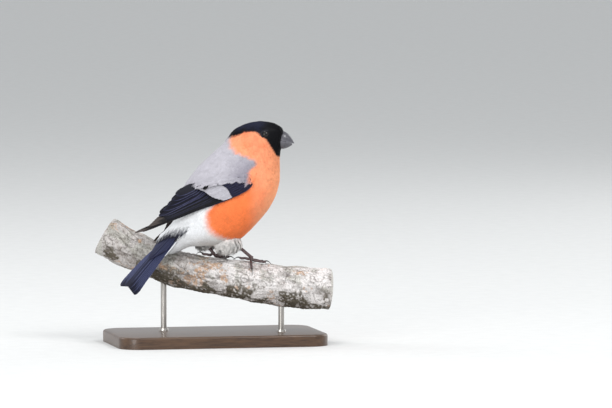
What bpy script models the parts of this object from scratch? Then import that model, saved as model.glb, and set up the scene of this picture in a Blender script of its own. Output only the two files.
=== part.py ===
# A male Eurasian bullfinch on a cut length of branch, held by a small display stand.
# The bird faces +X with its left side towards +Y; +Z is up and the base stands on z = 0.
# Sizes and places are written in millimetres and scaled to metres as each mesh is made.
import math

import bmesh
import bpy
from mathutils import Matrix, Vector

MM = 0.001
GAP = 0.3
# Points nearer than this are one point: in a new mesh, where a tube's seam closes, and after
# a cut or a union
MERGE = 1e-4
SEAM = 1e-3
WELD = 0.002
SHARP_ANGLE = math.radians(40.0)
BLOCK_SIZE = 120.0

# Display stand
BASE_LENGTH = 144.0
BASE_DEPTH = 84.0
BASE_THICKNESS = 8.0
BASE_CORNER = 14.0
BASE_EDGE = 1.6
ROD_RADIUS = 2.0
ROD_SINK_BASE = 5.0
ROD_SINK_PERCH = 6.0
ROD_STATIONS = {"stand_rod_rear": -35.0, "stand_rod_front": 45.0}

# The perch runs obliquely under the bird: distance along it, towards the right side, height, radius
PERCH_TURN = math.radians(-12.0)
PERCH_ROWS = (
    (-75.0, -17.0, 72.0, 13.2),
    (-58.0, -14.0, 62.3, 13.0),
    (-44.0, -11.0, 57.0, 12.2),
    (-31.0, -7.5, 52.0, 12.3),
    (-17.0, -4.5, 48.6, 12.1),
    (-3.0, -1.5, 46.0, 12.0),
    (10.0, 0.5, 44.3, 12.7),
    (24.0, 1.5, 41.8, 13.2),
    (37.0, 1.2, 40.3, 13.5),
    (51.0, 0.0, 38.8, 13.9),
    (64.0, -1.2, 37.4, 14.0),
    (78.0, -3.5, 36.2, 13.4),
)

# Body stations from the crown to the tail's root:
# upper point (x, z), lower point (x, z) and half width
BODY_ROWS = (
    (31.5, 150.8, 32.3, 150.8, 0.0),
    (25.5, 149.9, 38.4, 149.9, 5.8),
    (20.0, 148.2, 42.8, 148.4, 9.0),
    (14.4, 145.2, 46.6, 145.2, 11.4),
    (10.0, 140.4, 46.9, 140.0, 13.0),
    (6.2, 135.6, 45.6, 133.4, 14.6),
    (0.6, 130.4, 44.6, 126.0, 17.0),
    (-5.4, 125.2, 44.6, 117.6, 20.2),
    (-10.6, 120.4, 44.1, 109.8, 23.2),
    (-15.8, 114.3, 41.8, 101.2, 25.4),
    (-19.8, 108.2, 37.3, 92.4, 26.2),
    (-22.6, 101.8, 31.3, 84.8, 25.5),
    (-24.4, 95.4, 24.4, 77.6, 23.6),
    (-25.8, 89.4, 16.6, 71.6, 20.8),
    (-28.0, 84.4, 6.6, 67.6, 16.8),
    (-31.4, 79.9, -6.0, 67.0, 12.0),
    (-35.0, 76.0, -17.0, 66.4, 7.8),
    (-37.8, 71.4, -28.0, 62.8, 4.6),
    (-37.0, 64.8, -36.0, 64.0, 0.0),
)
BACK_NARROWING = 0.10
HEAD_TURN = math.radians(-11.0)
TURN_AXIS_X = 22.0
TURN_LOW = 114.0
TURN_HIGH = 134.0

# Thin cuts that part the body, each through an upper and a lower point (x, z)
CUT_HEAD = ((8.0, 138.2), (45.0, 127.2))
CUT_NECK = ((-8.0, 124.0), (44.4, 113.0))
CUT_RUMP = ((-27.5, 93.5), (0.0, 65.6))
CUT_TAIL = ((-34.2, 82.0), (-13.0, 64.2))

# Bill: station x, culmen height, lower height, half width
BILL_ROWS = (
    (41.5, 142.2, 133.6, 3.6),
    (44.5, 144.0, 132.0, 4.6),
    (47.0, 144.1, 131.9, 4.6),
    (49.2, 143.0, 132.5, 4.0),
    (51.0, 141.5, 133.3, 3.2),
    (52.4, 139.8, 134.2, 2.3),
    (53.6, 137.9, 135.0, 1.3),
    (54.4, 136.0, 135.6, 0.0),
)
MOUTH_LINE = ((41.0, 139.2), (54.4, 135.4))
MOUTH_GAP = 0.4
LOWER_BILL_END = 52.9
NOSTRIL = (46.9, 3.3, 142.2)
NOSTRIL_RADIUS = 0.55

# Eyes and lids
EYE_CENTRE = (34.4, 10.2, 142.4)
EYE_RADIUS = 2.9
LID_RADIUS = 2.55
LID_THICKNESS = 0.62

# Wings: side, wrist (x, z), slope, stretch along the wing, how the blade draws in to the tail,
# and how far its rear half is fanned open
WINGS = {
    "wing_right": dict(side=-1.0, wrist=(20.4, 109.7), slope=math.radians(23.5), stretch=0.96,
                       draw=0.31, fan=0.0),
    "wing_left": dict(side=1.0, wrist=(27.2, 114.2), slope=math.radians(33.6), stretch=0.93,
                      draw=0.24, fan=0.6),
}
WING_CLEARANCE = 0.75
WING_WIDE = 24.6
WING_LEAVES_BREAST = (-4.0, 26.0)
WING_DRAW_FROM = 24.0
WING_FAN = (50.0, 72.0)
WING_TOP = 16.8
WING_TOP_LOSS = 6.5
WING_TOP_NARROWS = (44.0, 74.0)
WING_CORE_END = 58.0
VANE_THICKNESS = 0.6
VANE_FLOOR = 0.14

# Tiers of wing feathers. The first and the last of each tier are given and the rest lie evenly
# between them: root and tip as (along the wing, up across it), half width, lift and tilt.
WING_TIERS = (
    # primaries
    dict(count=6, roots=((38.0, -1.3), (42.0, 1.8)), tips=((85.0, -0.9), (71.0, 3.2)),
         longest=(1, 87.0), half_width=(1.6, 2.0), lift=1.0, tilt=0.30, segments=4),
    # secondaries
    dict(count=6, roots=((23.5, -0.9), (33.0, 9.2)), tips=((67.0, 0.2), (65.5, 5.3)),
         half_width=(2.1, 2.5), lift=1.75, tilt=0.25, segments=4),
    # tertials
    dict(count=2, roots=((34.0, 11.4), (35.5, 13.6)), tips=((61.0, 6.8), (55.0, 9.8)),
         half_width=(2.5, 2.3), lift=1.9, tilt=0.25, segments=4),
    # greater coverts
    dict(count=7, roots=((8.0, -1.3), (20.0, 11.0)), tips=((24.5, -0.8), (36.0, 11.0)),
         half_width=(1.6, 1.9), lift=2.35, tilt=0.25, segments=3),
    # median coverts
    dict(count=5, roots=((-0.5, 4.4), (17.0, 12.4)), tips=((9.5, 3.4), (26.5, 11.6)),
         half_width=(2.1, 2.1), lift=2.75, tilt=0.22, segments=3),
    # primary coverts
    dict(count=2, roots=((7.0, -1.6), (13.0, -2.2)), tips=((22.0, -2.3), (33.0, -1.7)),
         half_width=(1.1, 1.1), lift=1.7, tilt=0.2, segments=3),
)

# Tail: root and tip of its centre line, its roll, and its widths
TAIL_ROOT = (-25.5, -3.0, 77.0)
TAIL_TIP = (-62.1, -7.5, 38.2)
TAIL_ROLL = math.radians(-28.0)
TAIL_LENGTH = math.dist(TAIL_ROOT, TAIL_TIP)
TAIL_BOW = 1.4
TAIL_HALF_SPREAD = 7.6

# Legs: the hidden knee end of each shank, where its foot stands along and round the perch, the thigh's
# centre, half sizes and tilt, and each toe's heading in degrees and length
SHANK_RADIUS = 1.15
LEGS = {
    "left": dict(side=1.0, knee=(-7.5, 7.0, 70.5), station=-4.0, drape=-8.0,
                 thigh=(-3.5, 7.5, 70.8), thigh_size=(9.0, 6.0, 5.8), tilt=0.15,
                 toes=((-26.0, 9.0), (2.0, 11.5), (34.0, 9.5), (184.0, 7.5))),
    "right": dict(side=-1.0, knee=(11.4, -8.4, 69.0), station=21.8, drape=4.0,
                  thigh=(7.2, -8.0, 69.4), thigh_size=(8.8, 6.8, 7.0), tilt=0.05,
                  toes=((-24.0, 9.0), (4.0, 11.0), (78.0, 10.0), (186.0, 7.5))),
}
TOE_RADIUS = 0.95
TOE_CLAW = 4.2
TOE_STEPS = 7
TOE_KNUCKLE = 0.45
CLAW_ARCH = 0.7
ANKLE_RISE = 1.6
STUB_ABOVE = 1.4
STUB_BELOW = 1.2

COLOURS = {
    "black": ((0.010, 0.010, 0.016, 1.0), 0.35, 0.0),
    "orange": ((0.92, 0.27, 0.09, 1.0), 0.7, 0.0),
    "white": ((0.82, 0.83, 0.86, 1.0), 0.7, 0.0),
    "flight": ((0.018, 0.018, 0.040, 1.0), 0.35, 0.0),
    "bill": ((0.045, 0.042, 0.05, 1.0), 0.3, 0.0),
    "eye": ((0.006, 0.004, 0.004, 1.0), 0.05, 0.0),
    "leg": ((0.11, 0.06, 0.055, 1.0), 0.5, 0.0),
    "bark": ((0.56, 0.53, 0.51, 1.0), 0.85, 0.0),
    "wood": ((0.16, 0.09, 0.05, 1.0), 0.45, 0.0),
    "metal": ((0.42, 0.42, 0.44, 1.0), 0.35, 1.0),
}


def clear_scene():
    for item in list(bpy.data.objects):
        bpy.data.objects.remove(item, do_unlink=True)


def material(name):
    found = bpy.data.materials.get(name)
    if found:
        return found
    colour, roughness, metallic = COLOURS[name]
    made = bpy.data.materials.new(name)
    made.use_nodes = True
    shader = made.node_tree.nodes["Principled BSDF"]
    shader.inputs["Base Color"].default_value = colour
    shader.inputs["Roughness"].default_value = roughness
    shader.inputs["Metallic"].default_value = metallic
    return made


def smooth_step(low, high, value):
    part = min(1.0, max(0.0, (value - low) / (high - low)))
    return part * part * (3.0 - 2.0 * part)


def spline_row(rows, place):
    """A row of a table at a fractional index, on a Catmull-Rom curve."""
    last = len(rows) - 1
    index = min(int(place), last - 1)
    part = place - index
    near = [rows[min(max(index + step, 0), last)] for step in (-1, 0, 1, 2)]
    result = []
    for a, b, c, d in zip(*near):
        result.append(0.5 * (2.0 * b + (c - a) * part + (2.0 * a - 5.0 * b + 4.0 * c - d) * part ** 2
                             + (3.0 * b - a - 3.0 * c + d) * part ** 3))
    return result


# Making and joining meshes

def finish_mesh(name, mesh, colour):
    """An object from a bmesh in millimetres, triangulated, with its faces pointing out."""
    bmesh.ops.remove_doubles(mesh, verts=mesh.verts, dist=MERGE)
    bmesh.ops.dissolve_degenerate(mesh, edges=mesh.edges, dist=MERGE)
    bmesh.ops.triangulate(mesh, faces=mesh.faces)
    bmesh.ops.recalc_face_normals(mesh, faces=mesh.faces)
    bmesh.ops.scale(mesh, vec=(MM, MM, MM), verts=mesh.verts)
    data = bpy.data.meshes.new(name)
    mesh.to_mesh(data)
    mesh.free()
    data.materials.append(material(colour))
    data.shade_smooth()
    data.set_sharp_from_angle(angle=SHARP_ANGLE)
    made = bpy.data.objects.new(name, data)
    bpy.context.scene.collection.objects.link(made)
    return made


def wrapped(along, around, place):
    """A closed tube from a grid: place(u, v) gives points, v runs round, open ends are filled."""
    mesh = bmesh.new()
    bmesh.ops.create_grid(mesh, x_segments=along, y_segments=around, size=0.5)
    for vert in mesh.verts:
        vert.co = place(vert.co.x + 0.5, vert.co.y + 0.5)
    bmesh.ops.remove_doubles(mesh, verts=mesh.verts, dist=SEAM)
    bmesh.ops.holes_fill(mesh, edges=[edge for edge in mesh.edges if edge.is_boundary], sides=0)
    bmesh.ops.recalc_face_normals(mesh, faces=mesh.faces)
    return mesh


def sheet(along, across, place):
    """A closed plate: place(u, v, side) gives the points of its inner (0) and outer (1) face."""
    mesh = bmesh.new()
    bmesh.ops.create_grid(mesh, x_segments=along, y_segments=across, size=0.5)
    spots = {vert: (vert.co.x + 0.5, vert.co.y + 0.5) for vert in mesh.verts}
    bmesh.ops.triangulate(mesh, faces=mesh.faces)
    order = list(mesh.verts)
    grown = bmesh.ops.extrude_face_region(mesh, geom=list(mesh.faces))["geom"]
    flat = {tuple(round(c, 5) for c in vert.co.xy): spots[vert] for vert in order}
    for vert in [item for item in grown if isinstance(item, bmesh.types.BMVert)]:
        u, v = flat[tuple(round(c, 5) for c in vert.co.xy)]
        vert.co = place(u, v, 1)
    for vert in order:
        u, v = spots[vert]
        vert.co = place(u, v, 0)
    bmesh.ops.recalc_face_normals(mesh, faces=mesh.faces)
    return mesh


def ball(centre, size, segments=16, rings=10):
    mesh = bmesh.new()
    bmesh.ops.create_uvsphere(mesh, u_segments=segments, v_segments=rings, radius=1.0)
    bmesh.ops.scale(mesh, vec=size, verts=mesh.verts)
    bmesh.ops.translate(mesh, vec=centre, verts=mesh.verts)
    return mesh


def tube(points, radii, sides=8):
    """A tapered round bar along a list of points."""
    points = [Vector(point) for point in points]
    frames = []
    side = None
    for index, point in enumerate(points):
        ahead = points[min(index + 1, len(points) - 1)] - points[max(index - 1, 0)]
        ahead.normalize()
        if side is None:
            side = ahead.orthogonal().normalized()
        side = (side - ahead * side.dot(ahead)).normalized()
        frames.append((point, side.copy(), ahead.cross(side)))

    def place(u, v):
        index = round(u * (len(points) - 1))
        point, across, up = frames[index]
        angle = 2.0 * math.pi * v
        return point + radii[index] * (across * math.cos(angle) + up * math.sin(angle))

    return wrapped(len(points) - 1, sides, place)


def keep_above(mesh, point, normal):
    """Cuts a closed mesh with a plane, keeps the side the normal points to and fills the cut."""
    bmesh.ops.bisect_plane(mesh, geom=mesh.verts[:] + mesh.edges[:] + mesh.faces[:], dist=1e-6,
                           plane_co=point, plane_no=normal, clear_inner=True)
    bmesh.ops.holes_fill(mesh, edges=[edge for edge in mesh.edges if edge.is_boundary], sides=0)
    return mesh


def block_beyond(point, normal):
    """A large block whose one face lies on a plane and which fills the side the normal points to."""
    mesh = bmesh.new()
    bmesh.ops.create_cube(mesh, size=BLOCK_SIZE)
    turn = Vector((0.0, 0.0, 1.0)).rotation_difference(normal).to_matrix()
    bmesh.ops.rotate(mesh, cent=(0.0, 0.0, 0.0), matrix=turn, verts=mesh.verts)
    bmesh.ops.translate(mesh, vec=point + normal * BLOCK_SIZE / 2.0, verts=mesh.verts)
    return mesh


def apply_modifiers(item):
    graph = bpy.context.evaluated_depsgraph_get()
    data = bpy.data.meshes.new_from_object(item.evaluated_get(graph))
    item.modifiers.clear()
    item.data = data


def drop(item):
    bpy.data.objects.remove(item, do_unlink=True)


def cut_away(item, cutters):
    for cutter in cutters:
        change = item.modifiers.new("cut", "BOOLEAN")
        change.operation = "DIFFERENCE"
        change.solver = "EXACT"
        change.object = cutter
    apply_modifiers(item)
    for cutter in cutters:
        drop(cutter)
    keep_largest(item)


def fuse(item, pieces):
    """One union of an object with a collection of closed pieces."""
    group = bpy.data.collections.new("pieces")
    bpy.context.scene.collection.children.link(group)
    for piece in pieces:
        bpy.context.scene.collection.objects.unlink(piece)
        group.objects.link(piece)
    change = item.modifiers.new("join", "BOOLEAN")
    change.operation = "UNION"
    change.solver = "EXACT"
    change.operand_type = "COLLECTION"
    change.collection = group
    apply_modifiers(item)
    for piece in pieces:
        drop(piece)
    bpy.data.collections.remove(group)
    keep_largest(item)


def keep_largest(item):
    """Leaves only the largest closed surface of an object's mesh."""
    mesh = bmesh.new()
    mesh.from_mesh(item.data)
    left = set(mesh.faces)
    shells = []
    while left:
        start = left.pop()
        shell = {start}
        edge_of_search = [start]
        while edge_of_search:
            face = edge_of_search.pop()
            for edge in face.edges:
                for other in edge.link_faces:
                    if other in left:
                        left.remove(other)
                        shell.add(other)
                        edge_of_search.append(other)
        shells.append(shell)
    largest = max(shells, key=lambda shell: sum(face.calc_area() for face in shell))
    bmesh.ops.delete(mesh, geom=[face for shell in shells if shell is not largest for face in shell],
                     context="FACES")
    bmesh.ops.remove_doubles(mesh, verts=mesh.verts, dist=WELD * MM)
    bmesh.ops.dissolve_degenerate(mesh, edges=mesh.edges, dist=WELD * MM)
    bmesh.ops.triangulate(mesh, faces=mesh.faces)
    mesh.to_mesh(item.data)
    mesh.free()


# The perch

def perch_row(distance):
    """Centre and radius of the perch at a distance along it."""
    index = 0
    while index < len(PERCH_ROWS) - 2 and PERCH_ROWS[index + 1][0] < distance:
        index += 1
    span = PERCH_ROWS[index + 1][0] - PERCH_ROWS[index][0]
    row = spline_row(PERCH_ROWS, index + (distance - PERCH_ROWS[index][0]) / span)
    along, right, height, radius = row
    turn = PERCH_TURN
    centre = Vector((along * math.cos(turn) + right * math.sin(turn),
                     along * math.sin(turn) - right * math.cos(turn), height))
    return centre, radius


def perch_frame(distance):
    centre, radius = perch_row(distance)
    ahead = (perch_row(distance + 1.0)[0] - perch_row(distance - 1.0)[0]).normalized()
    right = ahead.cross(Vector((0.0, 0.0, 1.0))).normalized()
    return centre, radius, ahead, right, right.cross(ahead)


def perch_bump(distance, angle):
    """Twisted ribs and swellings of the bark."""
    coarse_rib = 0.35 * math.sin(3.0 * angle + 0.09 * distance + 0.6)
    fine_rib = 0.22 * math.sin(5.0 * angle - 0.16 * distance)
    knot = 1.1 * math.exp(-((distance - 21.0) / 5.0) ** 2) * max(0.0, math.cos(angle - 2.2)) ** 4
    swelling = 0.3 * math.sin(0.35 * distance + 1.3) * math.cos(angle)
    return coarse_rib + fine_rib + knot + swelling


def perch_point(distance, angle, lift=0.0):
    """A point of the bark; the angle is 0 on top and grows towards the right side."""
    centre, radius, _, right, up = perch_frame(distance)
    reach = radius + perch_bump(distance, angle) + lift
    return centre + reach * (up * math.cos(angle) + right * math.sin(angle))


def make_perch():
    first = PERCH_ROWS[0][0]
    last = PERCH_ROWS[-1][0]
    mesh = wrapped(34, 20, lambda u, v: perch_point(first + (last - first) * u, 2.0 * math.pi * v))
    perch = finish_mesh("perch_branch", mesh, "bark")
    cutters = []
    for name, distance in ROD_STATIONS.items():
        foot, top = rod_ends(distance)
        hole = tube((foot, top + Vector((0.0, 0.0, GAP))), (ROD_RADIUS + GAP,) * 2, 16)
        cutters.append(finish_mesh(name + "_hole", hole, "bark"))
    cut_away(perch, cutters)


# The stand

def rod_ends(distance):
    under = perch_point(distance, math.pi)
    centre = perch_row(distance)[0]
    foot = Vector((centre.x, centre.y, BASE_THICKNESS - ROD_SINK_BASE + GAP))
    return foot, Vector((centre.x, centre.y, under.z + ROD_SINK_PERCH))


def make_stand():
    mesh = bmesh.new()
    bmesh.ops.create_cube(mesh, size=1.0)
    bmesh.ops.scale(mesh, vec=(BASE_LENGTH, BASE_DEPTH, BASE_THICKNESS), verts=mesh.verts)
    bmesh.ops.translate(mesh, vec=(0.0, 0.0, BASE_THICKNESS / 2.0), verts=mesh.verts)
    upright = [edge for edge in mesh.edges if abs(edge.verts[0].co.z - edge.verts[1].co.z) > 1.0]
    bmesh.ops.bevel(mesh, geom=upright, offset=BASE_CORNER, segments=6, profile=0.5, affect="EDGES",
                    material=-1)
    rim = [edge for edge in mesh.edges if all(vert.co.z > BASE_THICKNESS - 0.01 for vert in edge.verts)]
    bmesh.ops.bevel(mesh, geom=rim, offset=BASE_EDGE, segments=3, profile=0.5, affect="EDGES",
                    material=-1)
    base = finish_mesh("stand_base", mesh, "wood")
    cutters = []
    for name, distance in ROD_STATIONS.items():
        foot, top = rod_ends(distance)
        finish_mesh(name, tube((foot, top), (ROD_RADIUS,) * 2, 16), "metal")
        hole = tube((foot - Vector((0.0, 0.0, GAP)), foot + Vector((0.0, 0.0, 2.0 * ROD_SINK_BASE))),
                    (ROD_RADIUS + GAP,) * 2, 16)
        cutters.append(finish_mesh(name + "_socket", hole, "wood"))
    cut_away(base, cutters)


# The body

def turn_head(point):
    """Turns what lies above the neck towards the right side."""
    angle = HEAD_TURN * smooth_step(TURN_LOW, TURN_HIGH, point.z)
    centre = Vector((TURN_AXIS_X, 0.0, 0.0))
    return Matrix.Rotation(angle, 4, "Z") @ (point - centre) + centre


def body_point(place, angle, grow=0.0):
    """A point of the plumage surface: place is a station index, angle 0 the back, pi the breast."""
    ux, uz, lx, lz, width = spline_row(BODY_ROWS, place)
    upper = Vector((ux, 0.0, uz))
    lower = Vector((lx, 0.0, lz))
    middle = (upper + lower) / 2.0
    chord = upper - middle
    reach = chord.length + grow
    cosine = math.cos(angle)
    across = (max(width, 0.0) + grow) * math.sin(angle) * (1.0 - BACK_NARROWING * cosine)
    point = middle + chord.normalized() * reach * cosine + Vector((0.0, -across, 0.0))
    return turn_head(point)


def body_mesh(grow=0.0, along=42, around=28):
    last = len(BODY_ROWS) - 1

    def place(u, v):
        if u in (0.0, 1.0):
            row = BODY_ROWS[round(u * last)]
            end = Vector(((row[0] + row[2]) / 2.0, 0.0, (row[1] + row[3]) / 2.0))
            outward = Vector((0.0, 0.0, 1.0)) if u == 0.0 else Vector((-0.6, 0.0, -0.8))
            return turn_head(end + outward * grow)
        return body_point(u * last, 2.0 * math.pi * v, grow)

    return wrapped(along, around, place)


def cut_plane(line):
    """Point and normal of a cut; the normal points towards the head."""
    upper = Vector((line[0][0], 0.0, line[0][1]))
    lower = Vector((line[1][0], 0.0, line[1][1]))
    ahead = Vector((0.0, 1.0, 0.0)).cross(upper - lower)
    if ahead.z < 0.0:
        ahead.negate()
    return lower, ahead.normalized()


def body_length(above=None, below=None, grow=0.0):
    """The stretch of the body between two thin cuts."""
    mesh = body_mesh(grow)
    if above:
        point, ahead = cut_plane(above)
        keep_above(mesh, point + ahead * GAP / 2.0, ahead)
    if below:
        point, ahead = cut_plane(below)
        keep_above(mesh, point - ahead * GAP / 2.0, -ahead)
    return mesh


def flank(x, z, grow):
    """How far the body reaches sideways at a place in the side view."""
    low = 1.0
    high = len(BODY_ROWS) - 2.0

    def side_of(place):
        ux, uz, lx, lz, _ = spline_row(BODY_ROWS, place)
        return (ux - lx) * (z - lz) - (uz - lz) * (x - lx)

    if side_of(low) * side_of(high) > 0.0:
        return 0.0
    for _ in range(26):
        middle = (low + high) / 2.0
        if side_of(low) * side_of(middle) <= 0.0:
            high = middle
        else:
            low = middle
    ux, uz, lx, lz, width = spline_row(BODY_ROWS, low)
    length = math.hypot(ux - lx, uz - lz)
    part = ((x - lx) * (ux - lx) + (z - lz) * (uz - lz)) / length - length / 2.0
    cosine = part / (length / 2.0 + grow)
    if abs(cosine) >= 1.0:
        return 0.0
    return (width + grow) * math.sqrt(1.0 - cosine ** 2) * (1.0 - BACK_NARROWING * cosine)


def make_body():
    finish_mesh("neck", body_length(above=CUT_NECK, below=CUT_HEAD), "orange")
    finish_mesh("torso", body_length(above=CUT_RUMP, below=CUT_NECK), "orange")
    finish_mesh("rump", body_length(above=CUT_TAIL, below=CUT_RUMP), "white")


# The head

def bill_mesh(grow=0.0, along=12, around=16):
    last = len(BILL_ROWS) - 1

    def place(u, v):
        x, top, bottom, width = spline_row(BILL_ROWS, u * last)
        angle = 2.0 * math.pi * v
        middle = (top + bottom) / 2.0
        height = (top - bottom) / 2.0 + grow
        reach = width + grow
        if u == 0.0:
            x -= grow
        if u == 1.0:
            height = 0.0
            reach = 0.0
        return turn_head(Vector((x, -reach * math.sin(angle), middle + height * math.cos(angle))))

    return wrapped(along, around, place)


def mouth_plane():
    rear = turn_head(Vector((MOUTH_LINE[0][0], 0.0, MOUTH_LINE[0][1])))
    front = turn_head(Vector((MOUTH_LINE[1][0], 0.0, MOUTH_LINE[1][1])))
    side = Matrix.Rotation(HEAD_TURN, 4, "Z") @ Vector((0.0, 1.0, 0.0))
    up = (front - rear).cross(side).normalized()
    if up.z < 0.0:
        up.negate()
    return rear, up


def make_bill():
    rear, up = mouth_plane()
    upper = bill_mesh()
    keep_above(upper, rear + up * MOUTH_GAP / 2.0, up)
    bill = finish_mesh("bill_upper", upper, "bill")
    cutters = []
    for side in (-1.0, 1.0):
        x, y, z = NOSTRIL
        spot = turn_head(Vector((x, side * y, z)))
        hole = ball(spot, (NOSTRIL_RADIUS,) * 3, 8, 6)
        cutters.append(finish_mesh("nostril", hole, "bill"))
    cut_away(bill, cutters)
    lower = bill_mesh()
    keep_above(lower, rear - up * MOUTH_GAP / 2.0, -up)
    ahead = Matrix.Rotation(HEAD_TURN, 4, "Z") @ Vector((1.0, 0.0, 0.0))
    keep_above(lower, turn_head(Vector((LOWER_BILL_END, 0.0, BILL_ROWS[-1][1]))), -ahead)
    finish_mesh("bill_lower", lower, "bill")


def eye_place(side):
    """Centre of an eye and the direction it looks in."""
    x, y, z = EYE_CENTRE
    centre = turn_head(Vector((x, side * y, z)))
    look = Matrix.Rotation(HEAD_TURN, 4, "Z") @ Vector((0.22, side * 0.96, 0.12)).normalized()
    return centre, look


def make_lid(side):
    """A ring of skin that hugs the eyeball round its opening."""
    centre, look = eye_place(side)
    across = look.orthogonal().normalized()
    up = look.cross(across)
    forward = math.sqrt(max(0.0, (EYE_RADIUS + 0.35) ** 2 - LID_RADIUS ** 2))

    def place(u, v):
        turn = 2.0 * math.pi * u
        roll = 2.0 * math.pi * v
        outward = across * math.cos(turn) + up * math.sin(turn)
        ring = centre + look * forward + outward * (LID_RADIUS + LID_THICKNESS * 0.6)
        return ring + LID_THICKNESS * (outward * math.cos(roll) + look * math.sin(roll))

    return finish_mesh("lid", wrapped(16, 6, place), "black")


def make_head():
    head = finish_mesh("head", body_length(above=CUT_HEAD), "black")
    fuse(head, [make_lid(side) for side in (-1.0, 1.0)])
    cutters = [finish_mesh("bill_root", bill_mesh(GAP + 0.1, 6, 12), "black")]
    for side in (-1.0, 1.0):
        centre, _ = eye_place(side)
        cutters.append(finish_mesh("socket", ball(centre, (EYE_RADIUS + GAP,) * 3, 14, 8), "black"))
    cut_away(head, cutters)
    for name, side in (("eye_left", 1.0), ("eye_right", -1.0)):
        centre, _ = eye_place(side)
        finish_mesh(name, ball(centre, (EYE_RADIUS,) * 3, 16, 10), "eye")


# Wings

def wing_surface(wing, along, up, lift):
    """A point over the wing: along it from the wrist, up across it, and lifted off the body."""
    slope = wing["slope"]
    back = along * wing["stretch"]
    up = up * (1.0 + wing["fan"] * smooth_step(*WING_FAN, along))
    x = wing["wrist"][0] - back * math.cos(slope) - up * math.sin(slope)
    z = wing["wrist"][1] - back * math.sin(slope) + up * math.cos(slope)
    hug = flank(x, z, WING_CLEARANCE)
    line = WING_WIDE - wing["draw"] * max(0.0, along - WING_DRAW_FROM)
    reach = WING_TOP - WING_TOP_LOSS * smooth_step(*WING_TOP_NARROWS, along)
    bend = math.sqrt(max(0.02, 1.0 - (max(up, 0.0) / reach) ** 2))
    free = line * bend * smooth_step(*WING_LEAVES_BREAST, along)
    width = 0.5 * (hug + free + math.sqrt((hug - free) ** 2 + 0.6))
    return Vector((x, wing["side"] * (width + lift), z))


def wing_core(wing):
    """The slab under the feathers, thickest at the wrist."""
    def place(u, v, side):
        along = -1.0 + (WING_CORE_END + 1.0) * u
        low = -2.6 + 1.6 * u + 3.6 * (1.0 - smooth_step(0.0, 0.16, u))
        high = 5.5 + 8.5 * smooth_step(0.0, 0.45, u) - 8.0 * smooth_step(0.68, 1.0, u)
        middle = (low + high) / 2.0
        nose = math.sqrt(1.0 - (1.0 - min(1.0, u / 0.08)) ** 2)
        up = middle + (low - middle + (high - low) * v) * (0.35 + 0.65 * nose)
        rim = 1.0 - abs(2.0 * v - 1.0) ** 3
        thick = 0.6 + (1.2 - 0.7 * smooth_step(0.0, 0.5, u)) * rim
        return wing_surface(wing, along, up, thick * side)

    return sheet(14, 4, place)


def vane(surface, root, tip, half_width, lift, tilt, segments, colour="flight", floor=None,
         blunt_from=0.7):
    """A tapered feather over a surface; its first edge lies highest and its other edge dips."""
    run = tip[0] - root[0]
    rise = tip[1] - root[1]
    length = math.hypot(run, rise)

    def place(u, v, side):
        gone = 1.0 - (1.0 - u) ** (1.1 + blunt_from / 2.0)
        blunt = max(0.0, (gone - blunt_from) / (1.0 - blunt_from))
        wide = half_width * (0.6 + 0.4 * smooth_step(0.0, 0.25, gone)) * math.sqrt(1.0 - 0.96 * blunt ** 2)
        across = (2.0 * v - 1.0) * wide
        sunk = 0.8 * (1.0 - smooth_step(0.0, 0.25, gone))
        height = lift - tilt * (across + wide) - sunk
        if floor is not None:
            height = max(height, floor + VANE_THICKNESS)
        height -= VANE_THICKNESS * (1 - side)
        return surface(root[0] + run * gone - rise / length * across,
                       root[1] + rise * gone + run / length * across, height)

    return finish_mesh("vane", sheet(segments, 1, place), colour)


def between(pair, part):
    return tuple(a + (b - a) * part for a, b in zip(*pair))


def tier_vanes(surface, tier):
    """The feathers of one tier, from its first to its last."""
    made = []
    for index in range(tier["count"]):
        part = index / (tier["count"] - 1)
        root = between(tier["roots"], part)
        tip = between(tier["tips"], part)
        if "longest" in tier and index <= tier["longest"][0]:
            tip = (tip[0] + (tier["longest"][1] - tip[0]) * index / tier["longest"][0], tip[1])
        wide = tier["half_width"][0] + (tier["half_width"][1] - tier["half_width"][0]) * part
        lift = tier["lift"] + 0.011 * index
        made.append(vane(surface, root, tip, wide, lift, tier["tilt"], tier["segments"],
                         floor=VANE_FLOOR))
    return made


def make_wing(name):
    wing = WINGS[name]
    core = finish_mesh(name, wing_core(wing), "flight")

    def surface(along, up, lift):
        return wing_surface(wing, along, up, lift)

    feathers = []
    for tier in WING_TIERS:
        feathers += tier_vanes(surface, tier)
    fuse(core, feathers)


# Tail

def tail_point(along, across, lift):
    """A point over the tail: along it, across it towards the left side, and above it."""
    root = Vector(TAIL_ROOT)
    ahead = (Vector(TAIL_TIP) - root).normalized()
    left = Vector((0.0, 0.0, 1.0)).cross(ahead).normalized() * -1.0
    if left.y < 0.0:
        left.negate()
    above = left.cross(ahead).normalized()
    if above.z < 0.0:
        above.negate()
    turned = left * math.cos(TAIL_ROLL) - above * math.sin(TAIL_ROLL)
    raised = above * math.cos(TAIL_ROLL) + left * math.sin(TAIL_ROLL)
    bow = TAIL_BOW * math.sin(math.pi * min(max(along, 0.0), 1.0))
    return root + ahead * along * TAIL_LENGTH + turned * across + raised * (lift + bow)


def tail_vane(side, index, count, lift, reach, spread, half_width, segments, colour):
    """A feather of the tail; index 0 is next to the middle."""
    root = (0.04, side * (0.5 + 0.85 * index))
    tip = (reach, side * (spread[0] + (spread[1] - spread[0]) * index / (count - 1)))

    def surface(along, across, height):
        return tail_point(along / TAIL_LENGTH, across, height)

    roots = (root[0] * TAIL_LENGTH, root[1])
    tips = (tip[0] * TAIL_LENGTH, tip[1])
    return vane(surface, roots, tips, half_width, lift, 0.02 * side, segments, colour, blunt_from=0.86)


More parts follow.
